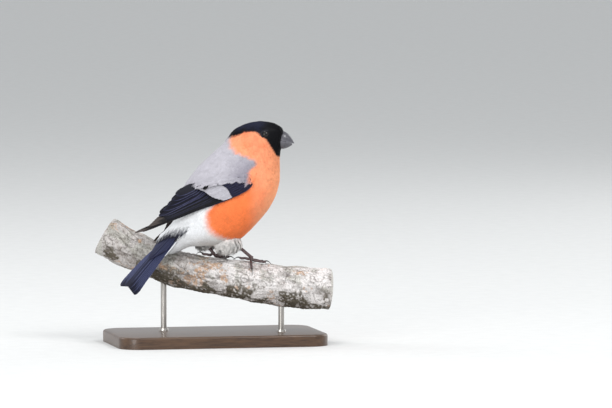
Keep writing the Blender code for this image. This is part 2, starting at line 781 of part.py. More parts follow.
def make_tail():
    point, ahead = cut_plane(CUT_TAIL)
    stub = body_mesh()
    keep_above(stub, point + ahead * 2.0, -ahead)
    tail = finish_mesh("tail", stub, "white")
    feathers = []
    for side in (-1.0, 1.0):
        for index in range(6):
            lift = 1.3 - 0.36 * index + 0.05 * side
            reach = 0.985 + 0.006 * index
            feathers.append(tail_vane(side, index, 6, lift, reach, (1.2, TAIL_HALF_SPREAD), 2.5, 5,
                                      "flight"))
    for side, index in ((-1.0, 0), (1.0, 0), (-1.0, 1), (1.0, 1)):
        above = 2.4 - 0.5 * index + 0.07 * side
        feathers.append(tail_vane(side, index, 2, above, 0.47 - 0.05 * index, (1.5, 3.6), 2.4, 3,
                                  "white"))
        below = -1.7 + 0.45 * index + 0.07 * side
        feathers.append(tail_vane(side, index, 2, below, 0.60 - 0.07 * index, (1.4, 3.4), 2.5, 3,
                                  "white"))
    fuse(tail, feathers)
    cut_away(tail, [finish_mesh("block", block_beyond(point - ahead * GAP / 2.0, ahead), "white")])


# Legs

def make_leg(name):
    leg = LEGS[name]
    ankle_angle = math.radians(leg["drape"])
    knee = Vector(leg["knee"])
    ankle = perch_point(leg["station"], ankle_angle, TOE_RADIUS * 2.0 + ANKLE_RISE)
    ahead = (ankle - knee).normalized()
    thigh_size = Vector(leg["thigh_size"])

    def thigh_mesh(grow):
        mesh = ball((0.0, 0.0, 0.0), thigh_size + Vector((grow, grow, grow)), 16, 9)
        bmesh.ops.rotate(mesh, cent=(0.0, 0.0, 0.0), matrix=Matrix.Rotation(leg["tilt"], 3, "Y"),
                         verts=mesh.verts)
        bmesh.ops.translate(mesh, vec=leg["thigh"], verts=mesh.verts)
        return mesh

    thigh = finish_mesh("thigh_" + name, thigh_mesh(0.0), "white")
    cut_away(thigh, [finish_mesh("belly", body_mesh(GAP), "white")])
    shank_end = ankle - ahead * (GAP + STUB_ABOVE)
    shank = finish_mesh("shank_" + name,
                        tube((knee, (knee + shank_end) / 2.0, shank_end),
                             (SHANK_RADIUS * 1.15, SHANK_RADIUS, SHANK_RADIUS * 1.1), 10), "leg")
    cut_away(shank, [finish_mesh("belly", body_mesh(GAP), "white"),
                     finish_mesh("thigh_room", thigh_mesh(GAP), "white")])
    stub = tube((ankle - ahead * STUB_ABOVE, ankle, ankle + ahead * STUB_BELOW),
                (SHANK_RADIUS * 1.1, SHANK_RADIUS * 1.25, SHANK_RADIUS * 1.1), 10)
    foot = finish_mesh("foot_" + name, stub, "leg")
    toes = []
    for heading, length in leg["toes"]:
        heading = math.radians(heading * -leg["side"])
        toes.append(make_toe(leg["station"], ankle_angle, ankle, heading, length))
    fuse(foot, toes)


def make_toe(station, angle, ankle, heading, length):
    """A toe that runs over the bark from the ankle and ends in a hooked claw."""
    points = [ankle]
    radii = [TOE_RADIUS * 1.05]
    reach = length + TOE_CLAW
    bend_from = length * 0.85
    for step in range(1, TOE_STEPS + 1):
        gone = reach * step / TOE_STEPS
        wall = perch_row(station)[1]
        spot_angle = angle + gone * math.sin(heading) / wall
        spot = station + gone * math.cos(heading)
        claw = smooth_step(length, reach, gone)
        radius = TOE_RADIUS * (1.0 - 0.25 * gone / reach) * (1.0 - 0.72 * claw)
        knuckle = TOE_KNUCKLE * math.sin(math.pi * min(1.0, gone / length))
        late = min(1.0, max(0.0, (gone - bend_from) / (reach - bend_from)))
        arch = CLAW_ARCH * math.sin(math.pi * late)
        points.append(perch_point(spot, spot_angle, GAP + 0.25 + radius + knuckle + arch))
        radii.append(radius)
    return finish_mesh("toe", tube(points, radii, 8), "leg")


def main():
    clear_scene()
    make_perch()
    make_stand()
    make_body()
    make_head()
    make_bill()
    for name in WINGS:
        make_wing(name)
    make_tail()
    for name in LEGS:
        make_leg(name)


main()
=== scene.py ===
# Looks of a male bullfinch on its perch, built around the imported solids.
# The bird faces +X, its left side is towards +Y. Sizes are in millimetres unless a name says
# otherwise, and each mesh is scaled to metres as it is made.
import math

import bmesh
import bpy
import numpy as np
from mathutils import Matrix, Vector


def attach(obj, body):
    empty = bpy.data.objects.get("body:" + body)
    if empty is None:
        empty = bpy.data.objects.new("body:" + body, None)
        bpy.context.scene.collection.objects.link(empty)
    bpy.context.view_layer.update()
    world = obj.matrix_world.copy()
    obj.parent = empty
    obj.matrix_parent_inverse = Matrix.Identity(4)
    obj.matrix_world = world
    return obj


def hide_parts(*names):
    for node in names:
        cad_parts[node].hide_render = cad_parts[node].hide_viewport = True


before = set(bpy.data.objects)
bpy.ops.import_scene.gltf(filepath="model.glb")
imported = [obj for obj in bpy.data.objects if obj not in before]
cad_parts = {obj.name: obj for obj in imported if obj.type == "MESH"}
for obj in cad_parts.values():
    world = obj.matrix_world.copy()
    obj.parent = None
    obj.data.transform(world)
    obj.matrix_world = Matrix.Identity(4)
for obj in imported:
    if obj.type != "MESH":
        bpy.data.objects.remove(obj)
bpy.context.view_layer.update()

MM = 0.001
TURN = 2.0 * math.pi
random = np.random.default_rng(417)

# View of the photograph: 0.68 mm a pixel at the bird, seen from its right side and slightly behind
PHOTO_WIDTH = 612
PHOTO_HEIGHT = 408
SCALE = 0.68
VIEW_AZIMUTH = math.radians(-12.0)
VIEW_ELEVATION = math.radians(4.0)
VIEW_DISTANCE = 5.0
ORIGIN_PIXEL = (215.0, 343.0)

# Body stations from the crown to the tail's root:
# upper point (x, z), lower point (x, z) and half width
BODY_ROWS = np.array((
    (31.5, 150.8, 32.3, 150.8, 0.0),
    (25.5, 149.9, 38.4, 149.9, 5.8),
    (20.0, 148.2, 42.8, 148.4, 9.0),
    (14.4, 145.2, 46.6, 145.2, 11.4),
    (10.0, 140.4, 46.9, 140.0, 13.0),
    (6.2, 135.6, 45.6, 133.4, 14.6),
    (0.6, 130.4, 44.6, 126.0, 17.0),
    (-5.4, 125.2, 44.6, 117.6, 20.2),
    (-10.6, 120.4, 44.1, 109.8, 23.2),
    (-15.8, 114.3, 41.8, 101.2, 25.4),
    (-19.8, 108.2, 37.3, 92.4, 26.2),
    (-22.6, 101.8, 31.3, 84.8, 25.5),
    (-24.4, 95.4, 24.4, 77.6, 23.6),
    (-25.8, 89.4, 16.6, 71.6, 20.8),
    (-28.0, 84.4, 6.6, 67.6, 16.8),
    (-31.4, 79.9, -6.0, 67.0, 12.0),
    (-35.0, 76.0, -17.0, 66.4, 7.8),
    (-37.8, 71.4, -28.0, 62.8, 4.6),
    (-37.0, 64.8, -36.0, 64.0, 0.0),
))
LAST_STATION = len(BODY_ROWS) - 1
BACK_NARROWING = 0.10
HEAD_TURN = math.radians(-11.0)
TURN_AXIS_X = 22.0
TURN_LOW = 114.0
TURN_HIGH = 134.0

# Edges of the markings in the side view
CAP_EDGE = ((9.0, 139.3), (14.6, 140.5), (17.4, 141.5), (19.5, 142.9), (24.3, 143.6), (28.5, 143.4),
            (31.3, 141.0), (34.1, 139.2), (36.1, 137.2), (38.2, 133.7), (41.7, 128.2), (43.1, 126.6))
MANTLE_EDGE = ((107.0, 24.0), (115.5, 23.0), (118.3, 24.8), (119.6, 27.1), (121.6, 29.0), (123.6, 27.8),
               (125.8, 24.3), (127.2, 19.5), (130.0, 13.9), (133.4, 11.1), (138.2, 10.4))
BELLY_EDGE = ((60.0, 40.0), (66.4, 30.0), (68.8, 19.0), (70.6, 8.6), (72.2, 3.0), (74.3, -1.4),
              (79.1, -4.9), (85.3, -6.3), (90.7, -4.9), (94.0, -1.0))
RUMP_TOP = 97.0
WEDGE_TOP = ((-38.2, 71.3), (-34.8, 74.6), (-24.3, 76.9), (-16.7, 78.1))
WEDGE_LOW = ((-35.0, 61.7), (-16.8, 78.4))
WEDGE_FRONT = -16.6
WEDGE_LOWEST = 56.0
# The mantle ends at each folded wing: a point of the line (x, z) and its slope. The left wing is
# carried a little higher and further forward, and the mantle's edge with it.
WING_LINE = (25.7, 107.0, 0.398)
WING_LINE_LEFT = (30.0, 108.0, 0.62)
LEFT_MANTLE_SHIFT = (6.0, 4.0)

# Plumage colours, linear
BLACK = (0.002, 0.002, 0.004)
CAP_SHEEN = (0.009, 0.011, 0.032)
CHEEK = (0.96, 0.335, 0.165)
CHEEK_DEEP = (0.96, 0.245, 0.105)
FLANK = (0.96, 0.215, 0.056)
# Painted rim light along the breast's front edge
BREAST_PAINTED_RIM_LIGHT = (0.96, 0.38, 0.18)
MANTLE = (0.455, 0.44, 0.485)
# Painted shade: the mantle's grey darkens towards the folded wing
MANTLE_PAINTED_SHADE = (0.26, 0.245, 0.295)
WEDGE_BLACK = (0.012, 0.012, 0.026)
WHITE = (0.88, 0.89, 0.91)
VENT = (0.66, 0.63, 0.60)

# Soft spots over the colours: their size, how much lighter or darker they are, and a seed
WARM_MOTTLE = ((5.0, 0.07, 3), (2.0, 0.05, 4))
GREY_MOTTLE = ((4.0, 0.05, 5), (1.5, 0.04, 6))
PALE_MOTTLE = ((4.0, 0.04, 7),)
# Loose barbs carry a colour past its edge: size and seeds of that unevenness
RAGGED_SIZE = 1.6
RAGGED_SEEDS = (1, 2)
# The edges are seen from slightly behind and above, so they shift with the distance from the middle
SEEN_FROM_BEHIND = math.radians(12.0)
SEEN_FROM_ABOVE = 0.0684

BILL_BASE = np.array((45.0, 0.0, 138.5))
TAIL_GOAL = np.array((-75.0, -4.0, 28.0))


def smooth(low, high, value):
    part = np.clip((value - low) / (high - low), 0.0, 1.0)
    return part * part * (3.0 - 2.0 * part)


def mix(a, b, part):
    part = np.asarray(part)[..., None]
    return np.asarray(a) * (1.0 - part) + np.asarray(b) * part


def unit(vectors):
    return vectors / np.maximum(np.linalg.norm(vectors, axis=-1, keepdims=True), 1e-9)


def spline_rows(rows, place):
    """Rows of a table at fractional indices, on a Catmull-Rom curve."""
    place = np.asarray(place, dtype=float)
    last = len(rows) - 1
    index = np.clip(place.astype(int), 0, last - 1)
    part = (place - index)[..., None]
    a, b, c, d = (rows[np.clip(index + step, 0, last)] for step in (-1, 0, 1, 2))
    return 0.5 * (2.0 * b + (c - a) * part + (2.0 * a - 5.0 * b + 4.0 * c - d) * part ** 2
                  + (3.0 * b - a - 3.0 * c + d) * part ** 3)


def value_noise(points, size, seed=0):
    """Smooth noise between -1 and 1 at points in millimetres, with features of the given size."""
    spot = np.asarray(points) / size
    cell = np.floor(spot).astype(np.int64)
    part = spot - cell
    part = part * part * (3.0 - 2.0 * part)
    total = np.zeros(len(spot))
    for corner in range(8):
        step = np.array((corner & 1, corner >> 1 & 1, corner >> 2 & 1))
        key = (cell + step) @ np.array((73856093, 19349663, 83492791)) + seed * 2654435761
        key = (key ^ (key >> 13)) * 1274126177
        draw = ((key ^ (key >> 16)) & 0xFFFF) / 32767.5 - 1.0
        weight = np.prod(np.where(step == 1, part, 1.0 - part), axis=1)
        total += draw * weight
    return total


# Shape of the body

def rotate_z(points, angle, centre_x):
    x = points[..., 0] - centre_x
    y = points[..., 1]
    turned = np.array(points, dtype=float)
    turned[..., 0] = x * np.cos(angle) - y * np.sin(angle) + centre_x
    turned[..., 1] = x * np.sin(angle) + y * np.cos(angle)
    return turned


def turn_head(points):
    angle = HEAD_TURN * smooth(TURN_LOW, TURN_HIGH, points[..., 2])
    return rotate_z(points, angle, TURN_AXIS_X)


def face_front(points):
    """The same points with the head turned back to face forward."""
    angle = HEAD_TURN * smooth(TURN_LOW, TURN_HIGH, points[..., 2])
    return rotate_z(points, -angle, TURN_AXIS_X)


def body_points(place, angle, grow=0.0):
    """Points of the plumage surface; angle 0 is the back and a half turn is the breast."""
    ux, uz, lx, lz, width = np.moveaxis(spline_rows(BODY_ROWS, place), -1, 0)
    half_x = (ux - lx) / 2.0
    half_z = (uz - lz) / 2.0
    length = np.maximum(np.hypot(half_x, half_z), 1e-6)
    cosine = np.cos(angle)
    reach = (length + grow) / length
    x = (ux + lx) / 2.0 + half_x * reach * cosine
    z = (uz + lz) / 2.0 + half_z * reach * cosine
    y = -(np.maximum(width, 0.0) + grow) * np.sin(angle) * (1.0 - BACK_NARROWING * cosine)
    return turn_head(np.stack((x, y, z), axis=-1))


def body_frame(place, angle):
    """Points, outward normals and area per unit of place and angle."""
    step = 0.01
    points = body_points(place, angle)
    along = (body_points(place + step, angle) - body_points(place - step, angle)) / (2.0 * step)
    around = (body_points(place, angle + step) - body_points(place, angle - step)) / (2.0 * step)
    cross = np.cross(along, around)
    return points, unit(cross), np.linalg.norm(cross, axis=-1)


def flank(x, z, grow):
    """How far the body reaches sideways at places in the side view."""
    low = np.ones_like(x)
    high = np.full_like(x, LAST_STATION - 1.0)

    def side_of(place):
        ux, uz, lx, lz, _ = np.moveaxis(spline_rows(BODY_ROWS, place), -1, 0)
        return (ux - lx) * (z - lz) - (uz - lz) * (x - lx)

    outside = side_of(low) * side_of(high) > 0.0
    for _ in range(26):
        middle = (low + high) / 2.0
        near = side_of(low) * side_of(middle) <= 0.0
        high = np.where(near, middle, high)
        low = np.where(near, low, middle)
    ux, uz, lx, lz, width = np.moveaxis(spline_rows(BODY_ROWS, low), -1, 0)
    length = np.hypot(ux - lx, uz - lz)
    part = ((x - lx) * (ux - lx) + (z - lz) * (uz - lz)) / length - length / 2.0
    cosine = np.clip(part / (length / 2.0 + grow), -1.0, 1.0)
    reach = (width + grow) * np.sqrt(1.0 - cosine ** 2) * (1.0 - BACK_NARROWING * cosine)
    return np.where(outside, 0.0, reach)


# Markings

def table_at(table, value):
    keys, results = zip(*table)
    return np.interp(value, keys, results)


def mottled(colour, points, mottle):
    change = 1.0
    for size, strength, seed in mottle:
        change = change + strength * value_noise(points, size, seed)
    return colour * change[:, None]


def warm_colour(points, x, z):
    """Cheeks, breast and flanks: paler along the breast's front edge, where a rim light is painted, and
    deeper at the flanks.
    """
    deep = 0.8 * smooth(-0.1, 0.7, value_noise(points, 4.5, 9))
    warm = mix(mix(CHEEK, CHEEK_DEEP, deep), FLANK, smooth(128.0, 96.0, z) * smooth(34.0, 20.0, x))
    warm = mix(warm, BREAST_PAINTED_RIM_LIGHT, smooth(30.0, 44.0, x + 0.25 * (110.0 - z)) * 0.8)
    return mottled(warm, points, WARM_MOTTLE)


def part_mantle(x, z, left, unevenness):
    """Part of the mantle's grey: in front it has its own edge, and below it ends at the wing."""
    wing_edge = [line[1] - (line[0] - x) * line[2] for line in (WING_LINE, WING_LINE_LEFT)]
    above_wing = z - wing_edge[0] * (1.0 - left) - wing_edge[1] * left
    front = table_at(MANTLE_EDGE, z - LEFT_MANTLE_SHIFT[1] * left) + LEFT_MANTLE_SHIFT[0] * left
    return smooth(1.9, -1.9, x - front + 0.8 * unevenness) * smooth(-1.0, 1.0, above_wing)


def markings(points, ragged=0.0):
    """Plumage colour at points of the bird; ragged blurs the edges as loose barbs do."""
    spots = face_front(points)
    shift = ragged * np.stack([value_noise(points, RAGGED_SIZE, seed) for seed in RAGGED_SEEDS], axis=-1)
    side = np.abs(spots[:, 1])
    behind = SEEN_FROM_BEHIND + HEAD_TURN * smooth(TURN_LOW, TURN_HIGH, spots[:, 2])
    x_plain = spots[:, 0] + side * np.tan(behind)
    z_plain = spots[:, 2] - SEEN_FROM_ABOVE * side
    x = x_plain + shift[:, 0]
    z = z_plain + shift[:, 1]
    left = smooth(2.0, 12.0, spots[:, 1])
    colour = warm_colour(points, x, z)
    # painted shade: the grey darkens in front and below, towards the folded wing
    grey = mix(MANTLE, MANTLE_PAINTED_SHADE, smooth(2.0, 26.0, x) * smooth(132.0, 116.0, z))
    in_mantle = part_mantle(x, z, left, shift[:, 1])
    colour = mix(colour, mottled(grey, points, GREY_MOTTLE), in_mantle)
    pale = mix(WHITE, VENT, smooth(-24.0, -2.0, x) * smooth(76.0, 66.0, z))
    edge_width = 2.6 + 1.8 * smooth(86.0, 72.0, z)
    behind_belly = smooth(1.0, -1.0, (x - table_at(BELLY_EDGE, z)) / edge_width)
    in_pale = behind_belly * smooth(RUMP_TOP + 2.0, RUMP_TOP - 2.0, z)
    colour = mix(colour, mottled(pale, points, PALE_MOTTLE), in_pale)
    in_wedge = smooth(-0.5, 0.5, table_at(WEDGE_TOP, x) - z) * smooth(-0.5, 0.5, z - table_at(WEDGE_LOW, x))
    wedge_end = smooth(WEDGE_FRONT + 1.0, WEDGE_FRONT - 1.0, x) * (z > WEDGE_LOWEST)
    colour = mix(colour, WEDGE_BLACK, in_wedge * wedge_end)
    in_cap = smooth(-0.40, 0.40, z_plain + 0.25 * shift[:, 1] - table_at(CAP_EDGE, x_plain))
    crown = smooth(142.0, 149.0, z + 2.0 * value_noise(points, 3.0, 8)) * smooth(38.0, 30.0, x)
    colour = mix(colour, mix(BLACK, CAP_SHEEN, crown), in_cap)
    return np.clip(colour, 0.0, 1.0), in_cap, in_mantle, in_pale


# Making meshes and materials

PAINT = "Markings"
BAKE_MAP = "OFBake"


def scene_link(item):
    bpy.context.scene.collection.objects.link(item)
    return item


def paint(data, colours):
    layer = data.color_attributes.new(PAINT, "FLOAT_COLOR", "POINT")
    full = np.ones((len(colours), 4), dtype=np.float32)
    full[:, :3] = colours
    layer.data.foreach_set("color", full.ravel())


def mapped_grid(along, across, place, uv_box=(0.0, 0.0, 1.0, 1.0)):
    """A closed surface: place(u, v) lays a grid over it, and the seam and the poles are welded."""
    mesh = bmesh.new()
    bmesh.ops.create_grid(mesh, x_segments=along, y_segments=across, size=0.5)
    spots = {vert: (vert.co.x + 0.5, vert.co.y + 0.5) for vert in mesh.verts}
    layer = mesh.loops.layers.uv.new(BAKE_MAP)
    low_u, low_v, wide_u, wide_v = uv_box
    for face in mesh.faces:
        for loop in face.loops:
            u, v = spots[loop.vert]
            loop[layer].uv = (low_u + wide_u * u, low_v + wide_v * v)
    u, v = np.array(list(spots.values())).T
    for vert, point in zip(spots, place(u, v)):
        vert.co = point
    bmesh.ops.remove_doubles(mesh, verts=mesh.verts, dist=1e-4)
    bmesh.ops.recalc_face_normals(mesh, faces=mesh.faces)
    return mesh


def vertex_array(mesh):
    return np.array([vert.co[:] for vert in mesh.verts])


def make_piece(name, mesh, material, colours=None, smooth_faces=True, sharp=None):
    """An object in metres from a bmesh in millimetres."""
    bmesh.ops.scale(mesh, vec=(MM, MM, MM), verts=mesh.verts)
    data = bpy.data.meshes.new(name)
    mesh.to_mesh(data)
    mesh.free()
    if colours is not None:
        paint(data, colours)
    data.materials.append(material)
    if smooth_faces:
        data.shade_smooth()
    if sharp is not None:
        data.set_sharp_from_angle(angle=math.radians(sharp))
    return scene_link(bpy.data.objects.new(name, data))


def shader_material(name, roughness, metallic=0.0, specular=0.5, sheen=0.0, coat=0.0, colour=None):
    """A material with its plain numbers set on the shader's own sockets."""
    made = bpy.data.materials.new(name)
    made.use_nodes = True
    shader = made.node_tree.nodes["Principled BSDF"]
    shader.inputs["Roughness"].default_value = roughness
    shader.inputs["Metallic"].default_value = metallic
    shader.inputs["Specular IOR Level"].default_value = specular
    shader.inputs["Sheen Weight"].default_value = sheen
    shader.inputs["Sheen Roughness"].default_value = 0.4
    shader.inputs["Coat Weight"].default_value = coat
    if colour is not None:
        shader.inputs["Base Color"].default_value = (*colour, 1.0)
    return made


class Nodes:
    """Short calls for building a material's node tree."""

    def __init__(self, material):
        self.tree = material.node_tree
        self.shader = self.tree.nodes["Principled BSDF"]

    def add(self, kind, **values):
        node = self.tree.nodes.new(kind)
        for key, value in values.items():
            if hasattr(node, key):
                setattr(node, key, value)
            else:
                node.inputs[key.replace("_", " ")].default_value = value
        return node

    def link(self, source, target):
        self.tree.links.new(source, target)

    def object_coordinates(self, scale=(1.0, 1.0, 1.0), turn=(0.0, 0.0, 0.0)):
        mapping = self.add("ShaderNodeMapping")
        mapping.inputs["Scale"].default_value = scale
        mapping.inputs["Rotation"].default_value = turn
        self.link(self.add("ShaderNodeTexCoord").outputs["Object"], mapping.inputs["Vector"])
        return mapping.outputs["Vector"]

    def noise(self, vector, scale, detail=4.0, rough=0.55):
        node = self.add("ShaderNodeTexNoise", Scale=scale, Detail=detail, Roughness=rough)
        self.link(vector, node.inputs["Vector"])
        return node.outputs["Fac"]

    def ramp(self, source, stops):
        node = self.add("ShaderNodeValToRGB")
        elements = node.color_ramp.elements
        while len(elements) < len(stops):
            elements.new(0.5)
        for element, (place, colour) in zip(elements, stops):
            element.position = place
            element.color = (*colour, 1.0)
        self.link(source, node.inputs["Fac"])
        return node.outputs["Color"]

    def blend(self, factor, first, second, kind="MIX"):
        node = self.add("ShaderNodeMix", data_type="RGBA", blend_type=kind)
        for value, socket in ((factor, node.inputs[0]), (first, node.inputs[6]), (second, node.inputs[7])):
            if isinstance(value, bpy.types.NodeSocket):
                self.link(value, socket)
            else:
                socket.default_value = value if isinstance(value, float) else (*value, 1.0)
        return node.outputs[2]

    def bump(self, height, strength, distance=0.0003):
        node = self.add("ShaderNodeBump", Strength=strength, Distance=distance)
        self.link(height, node.inputs["Height"])
        self.link(node.outputs["Normal"], self.shader.inputs["Normal"])

    def colour(self, socket):
        self.link(socket, self.shader.inputs["Base Color"])

    def attribute(self):
        return self.add("ShaderNodeAttribute", attribute_name=PAINT).outputs["Color"]

    def painted(self, grain, dark, places=(0.3, 0.7)):
        """The painted colour, darkened in the grain's low spots."""
        tint = self.ramp(grain, ((places[0], (dark,) * 3), (places[1], (1.0, 1.0, 1.0))))
        self.colour(self.blend(1.0, self.attribute(), tint, "MULTIPLY"))


def coat_material(name, roughness, sheen, specular=0.3, streak=0.12):
    """Plumage: the colour attribute with a fine streaky variation along the barbs."""
    made = shader_material(name, roughness, specular=specular, sheen=sheen)
    nodes = Nodes(made)
    grain = nodes.noise(nodes.object_coordinates((900.0, 900.0, 900.0)), 1.0, 3.0)
    nodes.painted(grain, 1.0 - streak)
    return made


# Skin of the body, the head and the thighs

# How far the skin lies inside the plumage, and where along the stations the face's thin coat ends
SKIN_DEPTH = 0.62
FACE_DEPTH = 0.40
FACE_STATIONS = (3.0, 8.0)
THIGH_SKIN_DEPTH = 0.9
THIGHS = (
    # centre, half sizes, tilt about the cross axis
    ((-3.5, 7.5, 70.8), (9.0, 6.0, 5.8), 0.15),
    ((7.2, -8.0, 69.4), (8.8, 6.8, 7.0), 0.05),
)


def skin_depth(place):
    return -(FACE_DEPTH + (SKIN_DEPTH - FACE_DEPTH) * smooth(*FACE_STATIONS, place))


def skin_points(u, v):
    place = np.clip(u * LAST_STATION, 0.0, LAST_STATION)
    ends = np.sin(np.pi * np.clip(u, 0.02, 0.98)) ** 0.25
    return body_points(place, v * TURN, skin_depth(place) * ends)


def make_skin():
    mesh = mapped_grid(168, 120, skin_points, (0.0, 0.2, 1.0, 0.8))
    points = vertex_array(mesh)
    colours = markings(points, 0.6)[0]
    piece = make_piece("skin_body", mesh, coat_material("skin", 0.8, 0.0), colours)
    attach(piece, "root")
    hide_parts("head", "neck", "torso", "rump")


def thigh_points(thigh, u, v, grow=0.0):
    """An egg along X from its pole at u = 0 to its pole at u = 1."""
    centre, half, tilt = thigh
    along = -np.cos(np.pi * u) * (half[0] + grow)
    round_size = np.sin(np.pi * u)
    across = round_size * (half[1] + grow) * np.cos(TURN * v)
    up = round_size * (half[2] + grow) * np.sin(TURN * v)
    x = along * np.cos(tilt) - up * np.sin(tilt)
    z = along * np.sin(tilt) + up * np.cos(tilt)
    return np.stack((x, across, z), axis=-1) + np.array(centre)


def make_thigh_skins():
    for name, thigh in zip(("left", "right"), THIGHS):
        mesh = mapped_grid(36, 32, lambda u, v, egg=thigh: thigh_points(egg, u, v, -THIGH_SKIN_DEPTH))
        # a little darker than the vent: painted shade beneath the thigh's coat
        colours = np.full((len(mesh.verts), 3), np.array(VENT) * 0.95)
        material = coat_material(f"skin_thigh_{name}", 0.8, 0.0)
        piece = make_piece(f"skin_thigh_{name}", mesh, material, colours)
        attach(piece, "root")
        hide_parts(f"thigh_{name}")


# Coat of body feathers: each is a fan of thin tapered barbs

# Feathers grow longer away from the bill
HEAD_REACH = (4.0, 14.0, 26.0, 42.0)
FEATHER_LENGTHS = (0.9, 1.9, 3.2, 4.6)
BODY_TRIES = 84000
SPACING = 0.27
BARBS = 26
BARB_JITTER = 0.07
FAN_ANGLE = 1.3
BARB_LENGTH = 0.60
CURL_RADIUS = 26.0
BARB_RELIEF = 0.45
RAGGED_BARBS = 0.8
PATCH_SIZE = 0.003
BARB_SHADE = np.array((0.88, 0.88, 0.96, 1.03))
EYE_PLACES = ((34.4, -10.2, 142.4), (34.4, 10.2, 142.4))
CHEEK_LOW = 112.0
EYE_CLEARING = 3.1
# No coat on the bill's base: how near to it, and only above this height
FACE_BARE = (5.2, 132.5)


def lie_of_coat(points, normals):
    """Direction in which the plumage lies, and the distance from the bill's base."""
    bill = rotate_z(BILL_BASE, HEAD_TURN, TURN_AXIS_X)
    from_bill = points - bill
    reach = np.linalg.norm(from_bill, axis=-1)
    along = mix(unit(from_bill), unit(TAIL_GOAL - points), smooth(16.0, 34.0, reach))
    along = along - normals * np.sum(along * normals, axis=-1, keepdims=True)
    return unit(along), reach


def spread_out(points, radius):
    """Indices of points that keep their radius from those chosen before them."""
    size = float(np.max(radius))
    cells = {}
    chosen = []
    for index, (point, gap) in enumerate(zip(points, radius)):
        cell = tuple((point // size).astype(int))
        near = [item for dx in (-1, 0, 1) for dy in (-1, 0, 1) for dz in (-1, 0, 1)
                for item in cells.get((cell[0] + dx, cell[1] + dy, cell[2] + dz), ())]
        if near and np.min(np.sum((points[near] - point) ** 2, axis=1)) < gap * gap:
            continue
        cells.setdefault(cell, []).append(index)
        chosen.append(index)
    return np.array(chosen)


def body_roots(tries):
    """Evenly scattered feather roots: places, angles, points, normals."""
    place = random.uniform(0.05, LAST_STATION - 0.6, tries)
    angle = random.uniform(0.0, TURN, tries)
    points, normals, area = body_frame(place, angle)
    keep = random.uniform(0.0, 1.0, tries) < area / np.percentile(area, 98)
    place, angle, points, normals = (item[keep] for item in (place, angle, points, normals))
    reach = lie_of_coat(points, normals)[1]
    length = np.interp(reach, HEAD_REACH, FEATHER_LENGTHS)
    chosen = spread_out(points, SPACING * length + 0.12)
    return place[chosen], angle[chosen], points[chosen], normals[chosen]


def fan_of_barbs(roots, normals, flow, length, width, lift, sink=0.35, barb_width=0.86):
    """Corners of every barb, shaped (feather, barb, corner, xyz), and each barb's place in its fan."""
    count = len(roots)
    side = np.cross(normals, flow)
    spread = np.linspace(-1.0, 1.0, BARBS)[None, :] + random.normal(0.0, BARB_JITTER, (count, BARBS))
    theta = spread * FAN_ANGLE
    reach = (0.50 + 0.50 * np.cos(theta)) * (1.0 + random.normal(0.0, BARB_JITTER, (count, BARBS)))
    start = np.clip(reach - BARB_LENGTH, 0.0, 1.0)
    across = np.sin(theta) * 0.5

    def place(along, sideways):
        long = along * length[:, None]
        height = lift[:, None] * long - long ** 2 / (2.0 * CURL_RADIUS) - sink * (1.0 - along)
        return (roots[:, None, :] + flow[:, None, :] * long[..., None]
                + side[:, None, :] * (sideways * width[:, None])[..., None]
                + normals[:, None, :] * height[..., None])

    base = place(start, across * 0.35)
    tip = place(reach, across)
    along = unit(tip - base)
    flat = unit(np.cross(np.broadcast_to(normals[:, None, :], along.shape), along))
    half = (barb_width * np.clip(length / 4.0, 0.42, 1.0) / 2.0)[:, None, None]
    ridge = base + along * np.linalg.norm(tip - base, axis=-1, keepdims=True) * 0.25
    ridge = ridge + normals[:, None, :] * half * 0.7
    corners = np.stack((base - flat * half, base + flat * half, ridge, tip), axis=2)
    return corners, reach, across


def mesh_from_barbs(name, corners, colours, uv, material, normals):
    """One mesh of closed four-sided barbs from arrays, shaded softly as down is."""
    count = corners.shape[0] * corners.shape[1]
    data = bpy.data.meshes.new(name)
    faces = np.array(((0, 2, 1), (0, 3, 2), (1, 2, 3), (0, 1, 3)))
    loops = (np.arange(count)[:, None, None] * 4 + faces[None]).ravel()
    data.vertices.add(count * 4)
    data.vertices.foreach_set("co", (corners.reshape(-1, 3) * MM).astype(np.float32).ravel())
    data.loops.add(len(loops))
    data.loops.foreach_set("vertex_index", loops.astype(np.int32))
    data.polygons.add(count * 4)
    data.polygons.foreach_set("loop_start", np.arange(0, len(loops), 3, dtype=np.int32))
    data.update(calc_edges=True)
    layer = data.uv_layers.new(name=BAKE_MAP)
    layer.data.foreach_set("uv", uv.reshape(-1, 2)[loops].astype(np.float32).ravel())
    paint(data, colours.reshape(-1, 3))
    data.materials.append(material)
    data.shade_smooth()
    own = np.zeros(count * 12, dtype=np.float32)
    data.vertex_normals.foreach_get("vector", own)
    under = np.repeat(normals, corners.shape[1], axis=0)[:, None, :]
    soft = unit(own.reshape(-1, 4, 3) * BARB_RELIEF + under)
    data.normals_split_custom_set_from_vertices(soft.reshape(-1, 3))
    return scene_link(bpy.data.objects.new(name, data))


def patch_uv(u, v, reach, across):
    """Each feather is a small patch at its root's place (u, v) on the unwrap of what it grows on."""
    root = np.stack((u, v), axis=-1)[:, None, :]
    spot = root + PATCH_SIZE * np.stack((reach - 0.5, across), axis=-1)
    return np.repeat(spot[:, :, None, :], 4, axis=2)


def make_coat_piece(name, chosen, feathers, material):
    corners, colours, uv, normals = (item[chosen] for item in feathers)
    piece = mesh_from_barbs(name, corners, colours, uv, material, normals)
    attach(piece, "root")


